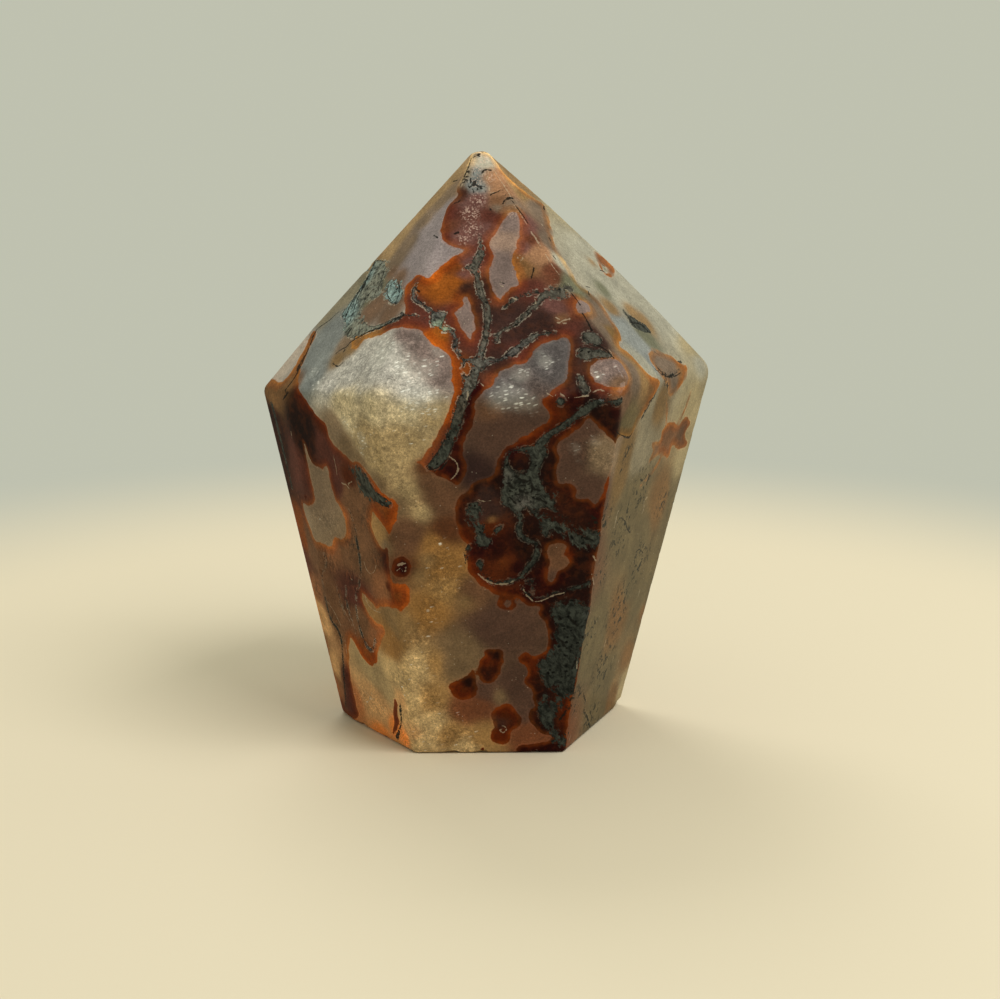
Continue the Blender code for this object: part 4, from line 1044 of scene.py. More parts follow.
# The shape: a closed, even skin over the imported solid
def makeStone():
    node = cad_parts["agate_tower"]
    piece = bpy.data.objects.new("polished_stone", node.data.copy())
    bpy.context.scene.collection.objects.link(piece)
    makeActive(piece)
    bpy.ops.object.mode_set(mode="EDIT")
    bpy.ops.mesh.select_all(action="SELECT")
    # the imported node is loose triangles
    bpy.ops.mesh.remove_doubles(threshold=stone["mergeWithin"] * millimetre)
    bpy.ops.mesh.normals_make_consistent(inside=False)
    bpy.ops.object.mode_set(mode="OBJECT")
    solid = bpy.data.objects.new("solid_copy", piece.data.copy())
    bpy.context.scene.collection.objects.link(solid)
    applyModifier(
        piece, "REMESH", "even skin", mode="SHARP", octree_depth=stone["skinDepth"], scale=stone["skinScale"],
        sharpness=1.0, use_remove_disconnected=False,
    )
    applyModifier(
        piece, "SHRINKWRAP", "back to the faces", target=solid,
        wrap_method="NEAREST_SURFACEPOINT", wrap_mode="ON_SURFACE",
    )
    print("stone skin:", len(piece.data.vertices), "points")
    return piece, solid


def surfaceTree(solid):
    shape = bmesh.new()
    shape.from_mesh(solid.data)
    for corner in shape.verts:
        corner.co /= millimetre
    tree = BVHTree.FromBMesh(shape)
    shape.free()
    return tree


def meshArrays(piece):
    count = len(piece.data.vertices)
    places = np.empty(count * 3)
    piece.data.vertices.foreach_get("co", places)
    normals = np.empty(count * 3)
    piece.data.vertex_normals.foreach_get("vector", normals)
    return places.reshape(-1, 3) / millimetre, normals.reshape(-1, 3)


# Outlines drawn on the stone: side is -1 for the front and 1 for the back
def onStone(tree, across, up, side):
    lowest, highest, outside = stone["castBetween"]
    reach = 0.0
    while reach < stone["castLimit"]:  # a point beyond the stone takes the depth of the nearest edge
        x = across - math.copysign(min(reach, abs(across)), across)
        z = min(max(up, lowest), highest - 0.5 * reach)
        spot = tree.ray_cast(Vector((x, side * outside, z)), Vector((0, -side, 0)))[0]
        if spot is not None:
            return (across, spot.y, up)
        reach += stone["castStep"]
    return (across, 0.0, up)


def curveThrough(points, closed):
    points = np.array(points, float)
    count = len(points)
    steps = np.linspace(0, 1, stone["curveSteps"], endpoint=False)[:, None]
    found = []
    for index in range(count if closed else count - 1):
        if closed:
            before, here, after, beyond = (points[(index + k) % count] for k in (-1, 0, 1, 2))
        else:
            rows = (min(max(index + k, 0), count - 1) for k in (-1, 0, 1, 2))
            before, here, after, beyond = (points[row] for row in rows)
        found.append(
            0.5 * (
                2 * here
                + (after - before) * steps
                + (2 * before - 5 * here + 4 * after - beyond) * steps**2
                + (3 * here - before - 3 * after + beyond) * steps**3
            )
        )
    if not closed:
        found.append(points[-1:])
    return np.concatenate(found)


def wandered(flat, side):
    if side < 0:
        return flat
    for row in flat:
        start = Vector((row[0], 0.0, row[1]))
        for fineness, reach in stone["wander"]:
            swing = noise.noise_vector(start * fineness)
            row[0] += swing.x * reach
            row[1] += swing.z * reach
    return flat


def nearestOnPath(places, path, closed):
    starts = path if closed else path[:-1]
    ends = np.roll(path, -1, axis=0) if closed else path[1:]
    along = ends - starts
    lengths = np.maximum((along**2).sum(axis=1), 1e-12)
    best = np.full(len(places), np.inf)
    which = np.zeros(len(places), int)
    share = np.zeros(len(places))
    batch = 20000
    for first in range(0, len(places), batch):
        part = slice(first, first + batch)
        gap = places[part, None, :] - starts[None, :, :]
        ratio = np.clip((gap * along).sum(axis=2) / lengths, 0, 1)
        away = ((gap - ratio[:, :, None] * along) ** 2).sum(axis=2)
        pick = away.argmin(axis=1)
        rows = np.arange(len(pick))
        best[part] = np.sqrt(away[rows, pick])
        which[part] = pick
        share[part] = ratio[rows, pick]
    return best, which, share


def insideOutline(flat, outline):
    inside = np.zeros(len(flat), bool)
    x, z = flat[:, 0], flat[:, 1]
    for (x1, z1), (x2, z2) in zip(outline, np.roll(outline, -1, axis=0)):
        crosses = (z1 > z) != (z2 > z)
        if z1 != z2:
            inside ^= crosses & (x < (x2 - x1) * (z - z1) / (z2 - z1) + x1)
    return inside


def near(places, path, margin):
    return ((places > path.min(axis=0) - margin) & (places < path.max(axis=0) + margin)).all(axis=1)


def fromCentre(point, side, places, tree):
    across, up, radius = inMillimetres([point], side, tree)[0]
    centre = np.array(onStone(tree, across, up, side))
    return np.sqrt(((places - centre) ** 2).sum(axis=1)), round(radius, stone["radiusDigits"])


def drawField(field, shapes, side, places, facing, tree):
    reach = stone["reach"]
    for action, _, kind, drawn in shapes:
        value = np.full(len(places), -reach)
        if kind == "disc":
            away, radius = fromCentre(drawn[0], side, places, tree)
            value = radius - away
        else:
            closed = kind == "patch"
            flat = wandered(curveThrough(inMillimetres(drawn, side, tree), closed), side)
            path = np.array([onStone(tree, point[0], point[1], side) for point in flat])
            close = np.flatnonzero(near(places, path, reach))
            if len(close):
                away, which, share = nearestOnPath(places[close], path, closed)
                if closed:
                    value[close] = -away
                else:
                    widths = flat[:, 2]
                    value[close] = widths[which] * (1 - share) + widths[which + 1] * share - away
            if closed:
                low, high = flat.min(axis=0), flat.max(axis=0)
                across, up = places[:, 0], places[:, 2]
                maybe = facing & (across > low[0]) & (across < high[0]) & (up > low[1]) & (up < high[1])
                maybe = np.flatnonzero(maybe)
                inner = maybe[insideOutline(places[maybe][:, [0, 2]], flat[:, :2])]
                value[inner] = np.where(value[inner] > -reach, -value[inner], reach)
        value = np.clip(value, -reach, reach)
        field[:] = np.maximum(field, value) if action == "add" else np.minimum(field, -value)


def drawTints(total, weight, spots, side, places, tree):
    for name, *point in spots:
        away, radius = fromCentre(point, side, places, tree)
        share = (1 + (away / radius) ** 2) ** -stone["tintFall"]
        total += share[:, None] * np.array(tints[name])
        weight += share


def drawMask(mask, spots, side, places, tree):
    for point in spots:
        away, radius = fromCentre(point, side, places, tree)
        np.maximum(mask, np.exp(-(away / radius) ** 4), out=mask)


def drawLines(offset, best, paths, side, places, tree):
    reach = stone["lineReach"]
    for points in paths:
        flat = curveThrough(inMillimetres(points, side, tree), False)
        path = np.array([onStone(tree, point[0], point[1], side) for point in flat])
        close = np.flatnonzero(near(places, path, reach))
        if not len(close):
            continue
        away, which, share = nearestOnPath(places[close], path, False)
        width = flat[which, 2] * (1 - share) + flat[which + 1, 2] * share
        spot = path[which] * (1 - share[:, None]) + path[which + 1] * share[:, None]
        better = (away < reach) & (away < best[close])
        rows = close[better]
        best[rows] = away[better]
        offset[rows] = (places[rows] - spot[better]) / width[better, None]


def storeField(piece, name, kind, values):
    layer = piece.data.attributes.new(name, kind, "POINT")
    if kind == "FLOAT":
        layer.data.foreach_set("value", np.ascontiguousarray(values, np.float32))
    elif kind == "FLOAT_VECTOR":
        layer.data.foreach_set("vector", np.ascontiguousarray(values, np.float32).ravel())
    else:
        colours = np.concatenate([values, np.ones((len(values), 1))], axis=1)
        layer.data.foreach_set("color", np.ascontiguousarray(colours, np.float32).ravel())


def drawMarkings(piece, solid):
    noise.seed_set(stone["wanderSeed"])
    tree = surfaceTree(solid)
    places, normals = meshArrays(piece)
    level = np.abs(normals[:, 2]) < stone["levelAbove"]
    sides = ((-1, level & (normals[:, 1] < 0)), (1, level & (normals[:, 1] >= 0)))
    for name, shapes in (
        ("iron", (ironFront, ironBack)), ("moss", (mossFront, mossBack)), ("druzy", (druzyFront, druzyBack)),
    ):
        field = np.full(len(places), -stone["reach"])
        for (side, facing), outlines in zip(sides, shapes):
            drawField(field, outlines, side, places, facing, tree)
        storeField(piece, name, "FLOAT", field)
        print("drawn:", name)
    faint = 1e-6  # weight of the tint that shows where no spot reaches
    for name, start, spots in (
        ("ground", "oliveGrey", (groundFront, groundBack)),
        ("stain", "maroon", (stainFront, stainBack)),
        ("mossTint", "darkMoss", (mossTintFront, mossTintBack)),
    ):
        total = np.zeros((len(places), 3)) + faint * np.array(tints[start])
        weight = np.full(len(places), faint)
        for (side, facing), group in zip(sides, spots):
            drawTints(total, weight, group, side, places, tree)
        storeField(piece, name, "FLOAT_COLOR", total / weight[:, None])
        print("tinted:", name)
    # the glitter and flash masks mark painted glints and painted flashes
    for name, spots in (
        ("glitter", (paintedGlitterFront, paintedGlitterBack)), ("streak", (streakFront, streakBack)),
        ("bright", (paintedFlashFront, paintedFlashBack)), ("fray", (frayFront, frayBack)),
        ("soft", (softFront, softBack)), ("squiggle", (squiggleFront, squiggleBack)),
    ):
        mask = np.zeros(len(places))
        for (side, facing), group in zip(sides, spots):
            drawMask(mask, group, side, places, tree)
        storeField(piece, name, "FLOAT", mask)
    farAway = 12.0  # in half widths
    for name, paths in (("darkLine", (darkFront, darkBack)), ("paleLine", (seamAndGlintFront, paleBack))):
        offset = np.full((len(places), 3), farAway)
        best = np.full(len(places), np.inf)
        for (side, facing), group in zip(sides, paths):
            drawLines(offset, best, group, side, places, tree)
        storeField(piece, name, "FLOAT_VECTOR", offset)
    print("lines drawn")


# Shader steps
def addNode(tree, kind, inputs=None, **settings):
    node = tree.nodes.new(kind)
    for key, value in settings.items():
        setattr(node, key, value)
    for key, value in (inputs or {}).items():
        if isinstance(value, bpy.types.NodeSocket):
            tree.links.new(value, node.inputs[key])
        else:
            node.inputs[key].default_value = value
    return node


def maths(tree, operation, first, second=0.0, third=0.0):
    return addNode(tree, "ShaderNodeMath", {0: first, 1: second, 2: third}, operation=operation).outputs[0]


def times(tree, first, *others):
    for other in others:
        first = maths(tree, "MULTIPLY", first, other)
    return first


def plus(tree, first, second):
    return maths(tree, "ADD", first, second)


def scaledPlus(tree, value, factor, offset):
    return maths(tree, "MULTIPLY_ADD", value, factor, offset)


def fromHalf(tree, value):
    return maths(tree, "SUBTRACT", value, 0.5)


def swing(tree, value, reach, middle=1.0):  # noise of 0 to 1 swings about the middle
    return scaledPlus(tree, fromHalf(tree, value), reach, middle)


def ridge(tree, value):  # 0 along the lines where noise crosses its middle
    return maths(tree, "ABSOLUTE", fromHalf(tree, value))


def mixColours(tree, share, first, second, blend="MIX"):
    node = addNode(tree, "ShaderNodeMix", {0: share}, data_type="RGBA", blend_type=blend)
    for socket, value in ((node.inputs[6], first), (node.inputs[7], second)):
        if isinstance(value, bpy.types.NodeSocket):
            tree.links.new(value, socket)
        else:
            socket.default_value = (*value, 1.0)
    return node.outputs[2]


def lifted(tree, colour, factors, light):  # each channel is multiplied, then light is added
    return mixColours(tree, 1.0, mixColours(tree, 1.0, colour, factors, "MULTIPLY"), light, "ADD")


def toned(tree, colour, factor):
    return addNode(tree, "ShaderNodeVectorMath", {0: colour, "Scale": factor}, operation="SCALE").outputs[0]


def lightOf(tree, colour):
    return addNode(tree, "ShaderNodeRGBToBW", {0: colour}).outputs[0]


def smoothRange(tree, value, low, high, fromLow=0.0, toHigh=1.0):
    inputs = {0: value, 1: low, 2: high, 3: fromLow, 4: toHigh}
    return addNode(tree, "ShaderNodeMapRange", inputs, interpolation_type="SMOOTHSTEP").outputs[0]


def noiseAt(tree, vector, scale, detail=3.0, roughness=0.55, distortion=0.0, output=0):
    inputs = {
        "Vector": vector, "Scale": scale, "Detail": detail, "Roughness": roughness, "Distortion": distortion,
    }
    return addNode(tree, "ShaderNodeTexNoise", inputs).outputs[output]


def cellsAt(tree, vector, scale, feature="F1", **inputs):
    inputs = {"Vector": vector, "Scale": scale, **inputs}
    return addNode(tree, "ShaderNodeTexVoronoi", inputs, feature=feature)


def toneOf(tree, cells, channel=0):
    return addNode(tree, "ShaderNodeSeparateColor", {0: cells.outputs["Color"]}).outputs[channel]


def fieldOf(tree, name, output="Fac"):
    node = addNode(tree, "ShaderNodeAttribute", attribute_type="GEOMETRY", attribute_name=name)
    return node.outputs[output]


def vectorStep(tree, operation, first, second):
    return addNode(tree, "ShaderNodeVectorMath", {0: first, 1: second}, operation=operation).outputs[0]


def stretched(tree, vector, turn, scale):
    turned = addNode(tree, "ShaderNodeMapping", {"Vector": vector, "Rotation": turn}, vector_type="POINT")
    inputs = {"Vector": turned.outputs[0], "Scale": scale}
    return addNode(tree, "ShaderNodeMapping", inputs, vector_type="POINT").outputs[0]


def warped(tree, vector, scale, amount):
    wander = noiseAt(tree, vector, scale, 2.0, output=1)
    wander = vectorStep(tree, "SUBTRACT", wander, (0.5, 0.5, 0.5))
    return vectorStep(tree, "ADD", vector, toned(tree, wander, amount))


# What a user may change in the finish of the stone. Lengths are in millimetres.
finish = {
    "polish": 0.06,           # roughness of the polished skin
    "gloss": 0.30,            # and how much it mirrors
    "stainGloss": 0.16,       # iron and moss take less polish
    "body": 0.38,             # roughness under it
    "bodyGloss": 0.0,         # only the polish mirrors
    "refraction": 1.54,
    "polishRefraction": 1.5,
    "relief": 0.16,           # strength of the druse's bump
    "reliefHeight": 0.1,
    "raggedness": 0.15,       # how far grain pushes the edge of a stain
    "scallop": 0.30,          # the same for its rounded lobes
    "rimWidth": 0.62,         # the orange rim of the iron
    "bandWidth": 1.25,        # and the deep red band inside it
    "haloWidth": 0.20,
    "mossTrim": 0.06,
    "fray": 5.0,              # how far loose moss tatters
    "dust": (0.6, 0.52, 0.42),
    # painted glow and painted flash highlights of the druse
    "druseGlow": (0.8, 0.78, 0.7),
    "druseFlash": (0.9, 0.88, 0.82),
    "streakRed": (0.30, 0.105, 0.035),
    "streakThread": (0.035, 0.035, 0.028),
    "lobeLight": (0.026, 0.007, 0.001),
    "bandTone": (1.25, 0.9, 0.6),
    "rimTone": (1.2, 1.2, 0.95),
    "rimLight": (0.075, 0.023, 0.003),
    "haloTone": (1.12, 1.04, 1.0),
    "haloLight": (0.025, 0.012, 0.008),
    # painted glints at the tip
    "glitter": (0.75, 0.56, 0.47),
    "mossGrain": (0.34, 0.38, 0.33),
    "mossShore": (0.010, 0.011, 0.009),
    "mossOutline": (0.46, 0.42, 0.34),
    "squiggle": (0.014, 0.015, 0.010),
    "lines": {                # colour, strength, and how far it wanders
        # pale lines: healed seams and painted glints
        "paleLine": ((0.50, 0.41, 0.30), 0.5, 4.5),
        "darkLine": ((0.012, 0.011, 0.009), 0.9, 3.0),
    },
}


# Patterns that several minerals share
def sharedPatterns(tree):
    objectPlace = addNode(tree, "ShaderNodeTexCoord").outputs["Object"]
    inputs = {"Vector": objectPlace, "Scale": [1 / millimetre] * 3}
    place = addNode(tree, "ShaderNodeMapping", inputs).outputs[0]
    grain = noiseAt(tree, place, 2.3, 4.0, 0.6)
    fine = noiseAt(tree, place, 5.0, 2.0, 0.7)
    lobes = cellsAt(tree, warped(tree, place, 0.8, 0.8), 0.85, "SMOOTH_F1", Smoothness=0.3)
    lobes = lobes.outputs["Distance"]
    knobPlace = warped(tree, place, 1.6, 0.7)
    return SimpleNamespace(
        place=place,
        grain=grain,
        fine=fine,
        fineTone=swing(tree, fine, 1.15),
        drift=noiseAt(tree, place, 0.4, 3.0, 0.5),
        clots=noiseAt(tree, place, 1.15, 3.0, 0.6),
        lobes=lobes,
        push=times(tree, fromHalf(tree, grain), 2 * finish["raggedness"]),
        lobePush=times(tree, maths(tree, "SUBTRACT", 0.45, lobes), finish["scallop"]),
        knobPlace=knobPlace,
        knobs=cellsAt(tree, knobPlace, 1.7),
        crumbs=cellsAt(tree, knobPlace, 4.2),
        specks=cellsAt(tree, place, 6.0),
    )


# Chalcedony: cloudy, dusted with pale specks
def chalcedony(tree, seen):
    cloud = times(tree, swing(tree, seen.drift, 0.9), swing(tree, seen.grain, 0.5))
    ground = toned(tree, fieldOf(tree, "ground", "Color"), times(tree, cloud, seen.fineTone))
    dust = cellsAt(tree, seen.place, 2.4)
    dustCentre = smoothRange(tree, dust.outputs["Distance"], 0.22, 0.1)
    dustMask = times(tree, smoothRange(tree, toneOf(tree, dust), 0.9, 0.93), dustCentre)
    return mixColours(tree, times(tree, dustMask, 0.35), ground, finish["dust"])


# Druse: knobbly grains between dark crevices, which are partly painted shade, and painted white flashes
# standing for light off its faces
def druse(tree, seen, ground):
    knobTone = scaledPlus(tree, toneOf(tree, seen.knobs), 0.16, 0.98)
    # partly painted shade: crevices between the grains darker, lumps lighter at their centres
    creviceShade = smoothRange(tree, seen.knobs.outputs["Distance"], 0.85, 0.25, 0.84, 1.0)
    crumbTone = scaledPlus(tree, toneOf(tree, seen.crumbs), 0.22, 0.88)
    lumpShading = smoothRange(tree, seen.lobes, 0.1, 0.6, 1.1, 0.9)
    curls = ridge(tree, noiseAt(tree, seen.knobPlace, 1.7, 3.0, 0.6, 0.8))
    curlTone = smoothRange(tree, curls, 0.0, 0.06, 1.32, 0.94)
    hollows = smoothRange(tree, seen.clots, 0.3, 0.42, 0.8, 1.0)
    colour = toned(tree, ground, times(tree, knobTone, creviceShade, crumbTone, lumpShading, curlTone, hollows))
    # painted highlights: white flashes, and a pale painted glow where the druse's faces catch the light
    flashCellPlace = stretched(tree, warped(tree, seen.place, 0.7, 0.5), (0, 0.25, 0), (1.5, 1.5, 4.6))
    flashCells = cellsAt(tree, flashCellPlace, 1.0)
    bright = fieldOf(tree, "bright")
    glintChance = scaledPlus(tree, bright, 0.5, toneOf(tree, flashCells))
    flashCellCentre = smoothRange(tree, flashCells.outputs["Distance"], 0.5, 0.2)
    paintedFlashPlace = maths(tree, "MAXIMUM", bright, smoothRange(tree, seen.clots, 0.45, 0.62, 0.1))
    paintedFlashTone = scaledPlus(tree, toneOf(tree, flashCells, 1), 0.75, 0.25)
    paintedFlash = times(tree, smoothRange(tree, glintChance, 0.9, 0.96), flashCellCentre, paintedFlashPlace, paintedFlashTone)
    colour = mixColours(tree, times(tree, bright, 0.16), colour, finish["druseGlow"])
    return mixColours(tree, times(tree, paintedFlash, 0.9), colour, finish["druseFlash"])


# The body of the iron stain, with flow streaks and lit lobes
def stainBody(tree, seen):
    tone = times(tree, swing(tree, seen.drift, 1.1), swing(tree, seen.grain, 0.8), seen.fineTone)
    stain = toned(tree, fieldOf(tree, "stain", "Color"), tone)
    streakPlace = stretched(tree, warped(tree, seen.place, 0.5, 0.8), (0, -0.32, 0), (2.6, 2.6, 0.3))
    streaks = noiseAt(tree, streakPlace, 1.0, 4.0, 0.65)
    streaked = toned(tree, stain, smoothRange(tree, streaks, 0.36, 0.6, 0.6, 1.15))
    redder = smoothRange(tree, streaks, 0.56, 0.68, 0.0, 0.7)
    streaked = mixColours(tree, redder, streaked, finish["streakRed"])
    threads = ridge(tree, noiseAt(tree, streakPlace, 0.6, 2.0, 0.5, 0.6))
    threads = smoothRange(tree, threads, 0.014, 0.003, 0.0, 0.75)
    streaked = mixColours(tree, threads, streaked, finish["streakThread"])
    stain = mixColours(tree, fieldOf(tree, "streak"), stain, streaked)
    darkness = smoothRange(tree, lightOf(tree, stain), 0.05, 0.02)
    lobeEdge = times(
        tree, smoothRange(tree, seen.lobes, 0.3, 0.6), darkness, smoothRange(tree, seen.clots, 0.4, 0.6)
    )
    return mixColours(tree, lobeEdge, stain, mixColours(tree, 1.0, stain, finish["lobeLight"], "ADD"))


# Iron over another mineral: a pale halo, a bright rim, a deep red band, then the body of the stain
def ironOver(tree, seen, colour):
    iron = plus(tree, fieldOf(tree, "iron"), plus(tree, seen.push, seen.lobePush))
    stain = stainBody(tree, seen)
    band = mixColours(tree, 1.0, stain, finish["bandTone"], "MULTIPLY")
    bandMask = smoothRange(tree, iron, finish["bandWidth"], finish["rimWidth"])
    stain = mixColours(tree, times(tree, bandMask, 0.7), stain, band)
    soft = fieldOf(tree, "soft")
    crisp = maths(tree, "SUBTRACT", 1.0, soft)
    rimMask = smoothRange(tree, iron, finish["rimWidth"], 0.12)
    rimMask = times(tree, rimMask, crisp, smoothRange(tree, seen.clots, 0.3, 0.7, 0.6, 1.0))
    halo = lifted(tree, colour, finish["haloTone"], finish["haloLight"])
    haloMask = smoothRange(tree, iron, -finish["haloWidth"] - 0.12, -finish["haloWidth"] + 0.08)
    colour = mixColours(tree, times(tree, haloMask, crisp, 0.75), colour, halo)
    ironColour = mixColours(tree, rimMask, stain, lifted(tree, stain, finish["rimTone"], finish["rimLight"]))
    blur = scaledPlus(tree, soft, 0.6, 0.06)
    ironMask = smoothRange(tree, iron, times(tree, blur, -1.0), blur)
    return mixColours(tree, ironMask, colour, ironColour), ironMask


# painted glitter: pale specks standing for glints of light at the tip
def paintedGlitterOver(tree, seen, colour):
    glintChance = smoothRange(tree, toneOf(tree, seen.specks, 1), 0.6, 0.75)
    glitter = times(tree, fieldOf(tree, "glitter"), glintChance, 0.45)
    return mixColours(tree, glitter, colour, finish["glitter"])


# Where moss lies, as millimetres inside its edge, with that edge tattered
def mossField(tree, seen):
    moss = plus(tree, times(tree, fromHalf(tree, seen.clots), 0.5), fieldOf(tree, "moss"))
    tatterPlace = stretched(tree, warped(tree, seen.place, 0.5, 0.8), (0, 0.5, 0), (2.0, 2.0, 1.0))
    tatters = noiseAt(tree, tatterPlace, 1.0, 4.0, 0.7)
    moss = scaledPlus(tree, fromHalf(tree, tatters), times(tree, fieldOf(tree, "fray"), finish["fray"]), moss)
    moss = plus(tree, maths(tree, "SUBTRACT", moss, finish["mossTrim"]), seen.push)
    return scaledPlus(tree, fromHalf(tree, seen.fine), 0.3, moss)


# Moss: felt of filaments with dark pits, thinning to loose grains at its edge
def mossOver(tree, seen, colour):
    moss = mossField(tree, seen)
    tint = fieldOf(tree, "mossTint", "Color")
    light = lightOf(tree, tint)
    granules = cellsAt(tree, warped(tree, seen.place, 2.0, 0.45), 4.4)
    granuleTone = toneOf(tree, granules)
    loose = maths(tree, "SUBTRACT", smoothRange(tree, moss, -0.34, -0.04, 0.0, 0.5), granuleTone)
    granuleCentre = smoothRange(tree, granules.outputs["Distance"], 0.5, 0.3)
    loose = times(tree, smoothRange(tree, loose, 0.0, 0.05), granuleCentre, 0.8)
    holes = smoothRange(tree, seen.grain, 0.57, 0.66, 0.0, 0.4)
    solidMoss = smoothRange(tree, maths(tree, "SUBTRACT", moss, holes), -0.05, 0.05)
    mossMask = maths(tree, "MAXIMUM", solidMoss, loose)
    weavePlace = stretched(tree, warped(tree, seen.place, 0.6, 1.6), (0.3, 0.5, 0.2), (2.0, 2.0, 0.9))
    felt = smoothRange(tree, noiseAt(tree, weavePlace, 1.0, 5.0, 0.7), 0.34, 0.66, 0.35, 1.75)
    pitChance = smoothRange(tree, toneOf(tree, seen.knobs, 1), 0.6, 0.7)
    pits = times(tree, pitChance, smoothRange(tree, seen.knobs.outputs["Distance"], 0.36, 0.2))
    felt = times(tree, felt, scaledPlus(tree, granuleTone, 0.3, 0.85), scaledPlus(tree, pits, -0.85, 1.0))
    mossColour = toned(tree, tint, felt)
    grainChance = smoothRange(tree, toneOf(tree, granules, 2), 0.86, 0.92)
    paleGrain = times(tree, grainChance, smoothRange(tree, light, 0.04, 0.14, 0.0, 0.4))
    mossColour = mixColours(tree, paleGrain, mossColour, finish["mossGrain"])
    shore = smoothRange(tree, moss, 0.17, 0.06)
    shore = times(tree, shore, smoothRange(tree, seen.grain, 0.4, 0.52, 0.15, 0.85))
    mossColour = mixColours(tree, shore, mossColour, finish["mossShore"])
    outline = times(tree, smoothRange(tree, moss, -0.17, -0.09), smoothRange(tree, moss, 0.03, -0.03))
    outline = times(tree, outline, smoothRange(tree, seen.clots, 0.45, 0.55))
    outline = times(tree, outline, smoothRange(tree, light, 0.03, 0.14, 0.05, 0.85))
    colour = mixColours(tree, outline, colour, finish["mossOutline"])
    return mixColours(tree, mossMask, colour, mossColour), mossMask


def squigglesOver(tree, seen, colour):
    squigglePlace = warped(tree, seen.place, 0.9, 0.9)
    squiggles = smoothRange(tree, ridge(tree, noiseAt(tree, squigglePlace, 0.85, 1.0, 0.5, 0.5)), 0.1, 0.05)
    breaks = smoothRange(tree, noiseAt(tree, seen.place, 1.25, 2.0, 0.6), 0.53, 0.57)
    squiggles = times(tree, squiggles, breaks)
    dots = smoothRange(tree, toneOf(tree, seen.specks, 2), 0.9, 0.93)
    dots = times(tree, dots, smoothRange(tree, seen.clots, 0.5, 0.6))
    dots = times(tree, dots, smoothRange(tree, seen.specks.outputs["Distance"], 0.8, 0.55))
    loosened = times(tree, maths(tree, "MAXIMUM", squiggles, dots), fieldOf(tree, "squiggle"), 0.95)
    return mixColours(tree, loosened, colour, finish["squiggle"])


def linesOver(tree, seen, colour):
    broken = fromHalf(tree, noiseAt(tree, seen.place, 2.6, 2.0))
    for name, (shade, strength, wander) in finish["lines"].items():
        offset = fieldOf(tree, name, "Vector")
        away = addNode(tree, "ShaderNodeVectorMath", {0: offset}, operation="LENGTH").outputs["Value"]
        away = scaledPlus(tree, broken, wander, away)
        colour = mixColours(tree, smoothRange(tree, away, 1.1, 0.45, 0.0, strength), colour, shade)
    return colour


def agateMaterial():
    material = bpy.data.materials.new("polished red moss agate")
    material.use_nodes = True
    tree = material.node_tree
    tree.nodes.clear()
    seen = sharedPatterns(tree)
    ground = chalcedony(tree, seen)
    druzyMask = smoothRange(tree, scaledPlus(tree, seen.push, 4.0, fieldOf(tree, "druzy")), -0.7, 1.1)
    colour = mixColours(tree, druzyMask, ground, druse(tree, seen, ground))
    colour, ironMask = ironOver(tree, seen, colour)
    colour = paintedGlitterOver(tree, seen, colour)
    colour, mossMask = mossOver(tree, seen, colour)
    colour = squigglesOver(tree, seen, colour)
    colour = linesOver(tree, seen, colour)
    # relief under the polish
    relief = times(tree, plus(tree, toneOf(tree, seen.knobs), toneOf(tree, seen.crumbs)), druzyMask)
    bump = addNode(tree, "ShaderNodeBump", {
        "Height": relief, "Strength": finish["relief"], "Distance": finish["reliefHeight"] * millimetre,
    })
    stained = maths(tree, "MAXIMUM", ironMask, mossMask)
    gloss = scaledPlus(tree, stained, finish["stainGloss"] - finish["gloss"], finish["gloss"])
    shader = addNode(tree, "ShaderNodeBsdfPrincipled", {
        "Base Color": colour, "Roughness": finish["body"], "IOR": finish["refraction"],
        "Specular IOR Level": finish["bodyGloss"], "Normal": bump.outputs[0], "Coat Weight": gloss,
        "Coat Roughness": finish["polish"], "Coat IOR": finish["polishRefraction"],
    })
    output = addNode(tree, "ShaderNodeOutputMaterial")
    tree.links.new(shader.outputs[0], output.inputs["Surface"])
    return material


def finishStone(piece, solid):
    drawMarkings(piece, solid)
    bpy.data.objects.remove(solid, do_unlink=True)
    makeActive(piece)
    bpy.ops.object.shade_smooth_by_angle(angle=math.radians(stone["edgeAngle"]))
    piece.data.materials.clear()
    piece.data.materials.append(agateMaterial())
    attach(piece, "root")
    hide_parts("agate_tower")
    print("stone finished")


# What a user may change around the stone: colours are linear, lengths in metres
studio = {
    "floorRadius": 3.0,
    "floorCorners": 96,
    "floorBelow": 0.00005,    # how far the floor lies under the base
    "floorTint": (0.70, 0.63, 0.50),
    "floorRoughness": 0.9,
    "floorShine": 0.1,
    "airTint": (0.52, 0.53, 0.44),
    "warmTo": 0.085,          # the floor is warm up to here
    "greyFrom": 0.17,         # and the colour of the air beyond here
    "contrast": 0.88,         # below 1 the darks sink, as in a phone picture
    "exposure": 0.12,
    "aim": (0, 0, 0.03),      # where the lights point
    "lights": {               # place, size, power in watts, tint
        "soft_key": ((0.26, -0.20, 0.46), 0.30, 1.75, (1.0, 0.985, 0.95)),
        "back_fill": ((-0.12, 0.34, 0.44), 0.26, 0.8, (1.0, 0.99, 0.97)),
    },
}


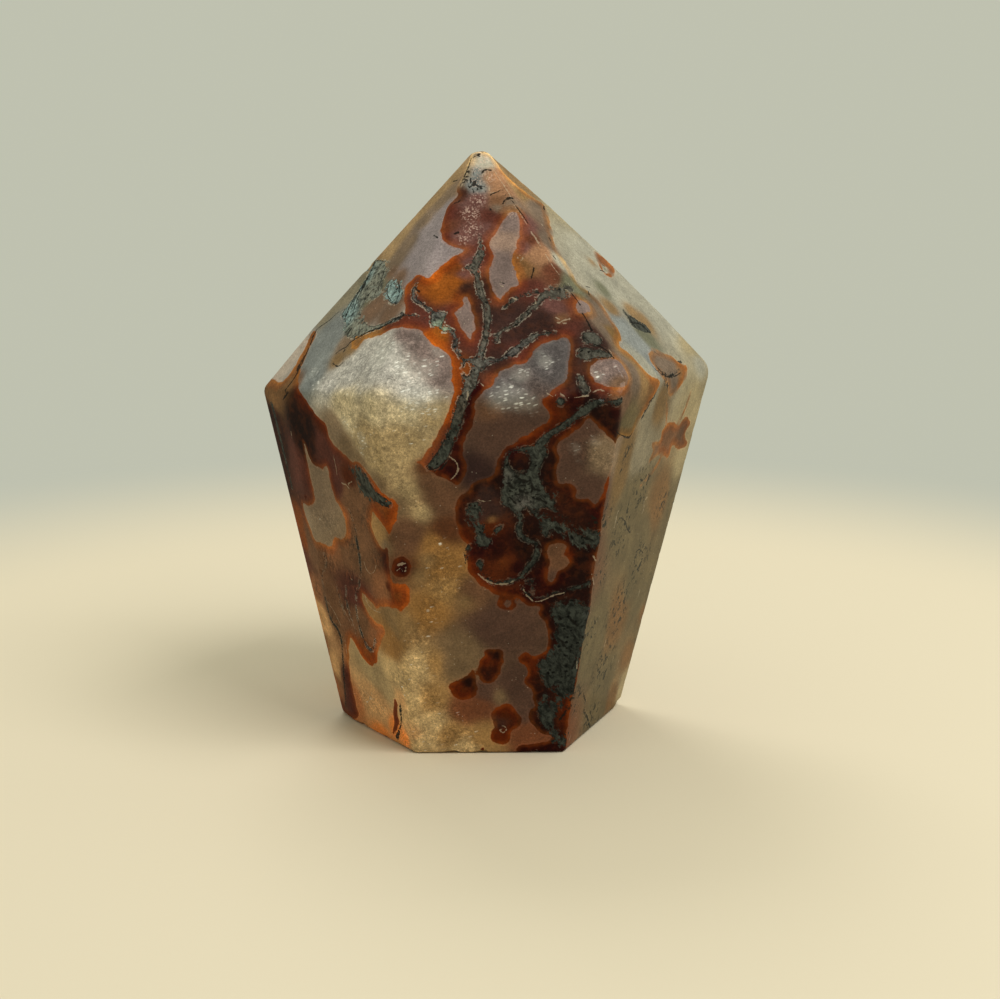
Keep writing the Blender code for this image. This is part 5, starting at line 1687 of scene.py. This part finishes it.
def makeFloor():
    startClean()
    bpy.ops.mesh.primitive_circle_add(
        vertices=studio["floorCorners"], radius=studio["floorRadius"], fill_type="NGON",
        location=(0, 0, -studio["floorBelow"]),
    )
    floor = bpy.context.object
    floor.name = "studio_floor"
    bpy.ops.object.transform_apply(location=True, rotation=False, scale=False)
    material = bpy.data.materials.new("pale floor")
    material.use_nodes = True
    tree = material.node_tree
    surface = tree.nodes["Principled BSDF"]
    surface.inputs["Base Color"].default_value = (*studio["floorTint"], 1)
    surface.inputs["Roughness"].default_value = studio["floorRoughness"]
    surface.inputs["Specular IOR Level"].default_value = studio["floorShine"]
    place = addNode(tree, "ShaderNodeTexCoord").outputs["Object"]
    away = addNode(tree, "ShaderNodeVectorMath", {0: place}, operation="LENGTH").outputs["Value"]
    beyond = addNode(tree, "ShaderNodeEmission", {"Color": (*studio["airTint"], 1), "Strength": 1.0})
    share = smoothRange(tree, away, studio["warmTo"], studio["greyFrom"])
    blend = addNode(tree, "ShaderNodeMixShader", {0: share, 1: surface.outputs[0], 2: beyond.outputs[0]})
    tree.links.new(blend.outputs[0], tree.nodes["Material Output"].inputs["Surface"])
    floor.data.materials.append(material)


def makeStudio():
    makeFloor()
    world = bpy.data.worlds.new("studio air")
    bpy.context.scene.world = world
    world.use_nodes = True
    air = world.node_tree.nodes["Background"]
    air.inputs["Color"].default_value = (*studio["airTint"], 1)
    air.inputs["Strength"].default_value = 1.0
    for name, (spot, size, power, tint) in studio["lights"].items():
        bpy.ops.object.light_add(type="AREA", location=spot)
        lamp = bpy.context.object
        lamp.name = name
        lamp.data.shape = "SQUARE"
        lamp.data.size = size
        lamp.data.energy = power
        lamp.data.color = tint
        aim = Vector(studio["aim"]) - Vector(spot)
        lamp.rotation_euler = aim.to_track_quat("-Z", "Y").to_euler()
    scene = bpy.context.scene
    scene.view_settings.view_transform = "Standard"
    scene.view_settings.look = "None"
    scene.view_settings.gamma = studio["contrast"]
    scene.view_settings.exposure = studio["exposure"]
    print("studio ready")


makeCamera()
makeStudio()
stonePiece, solidCopy = makeStone()
finishStone(stonePiece, solidCopy)
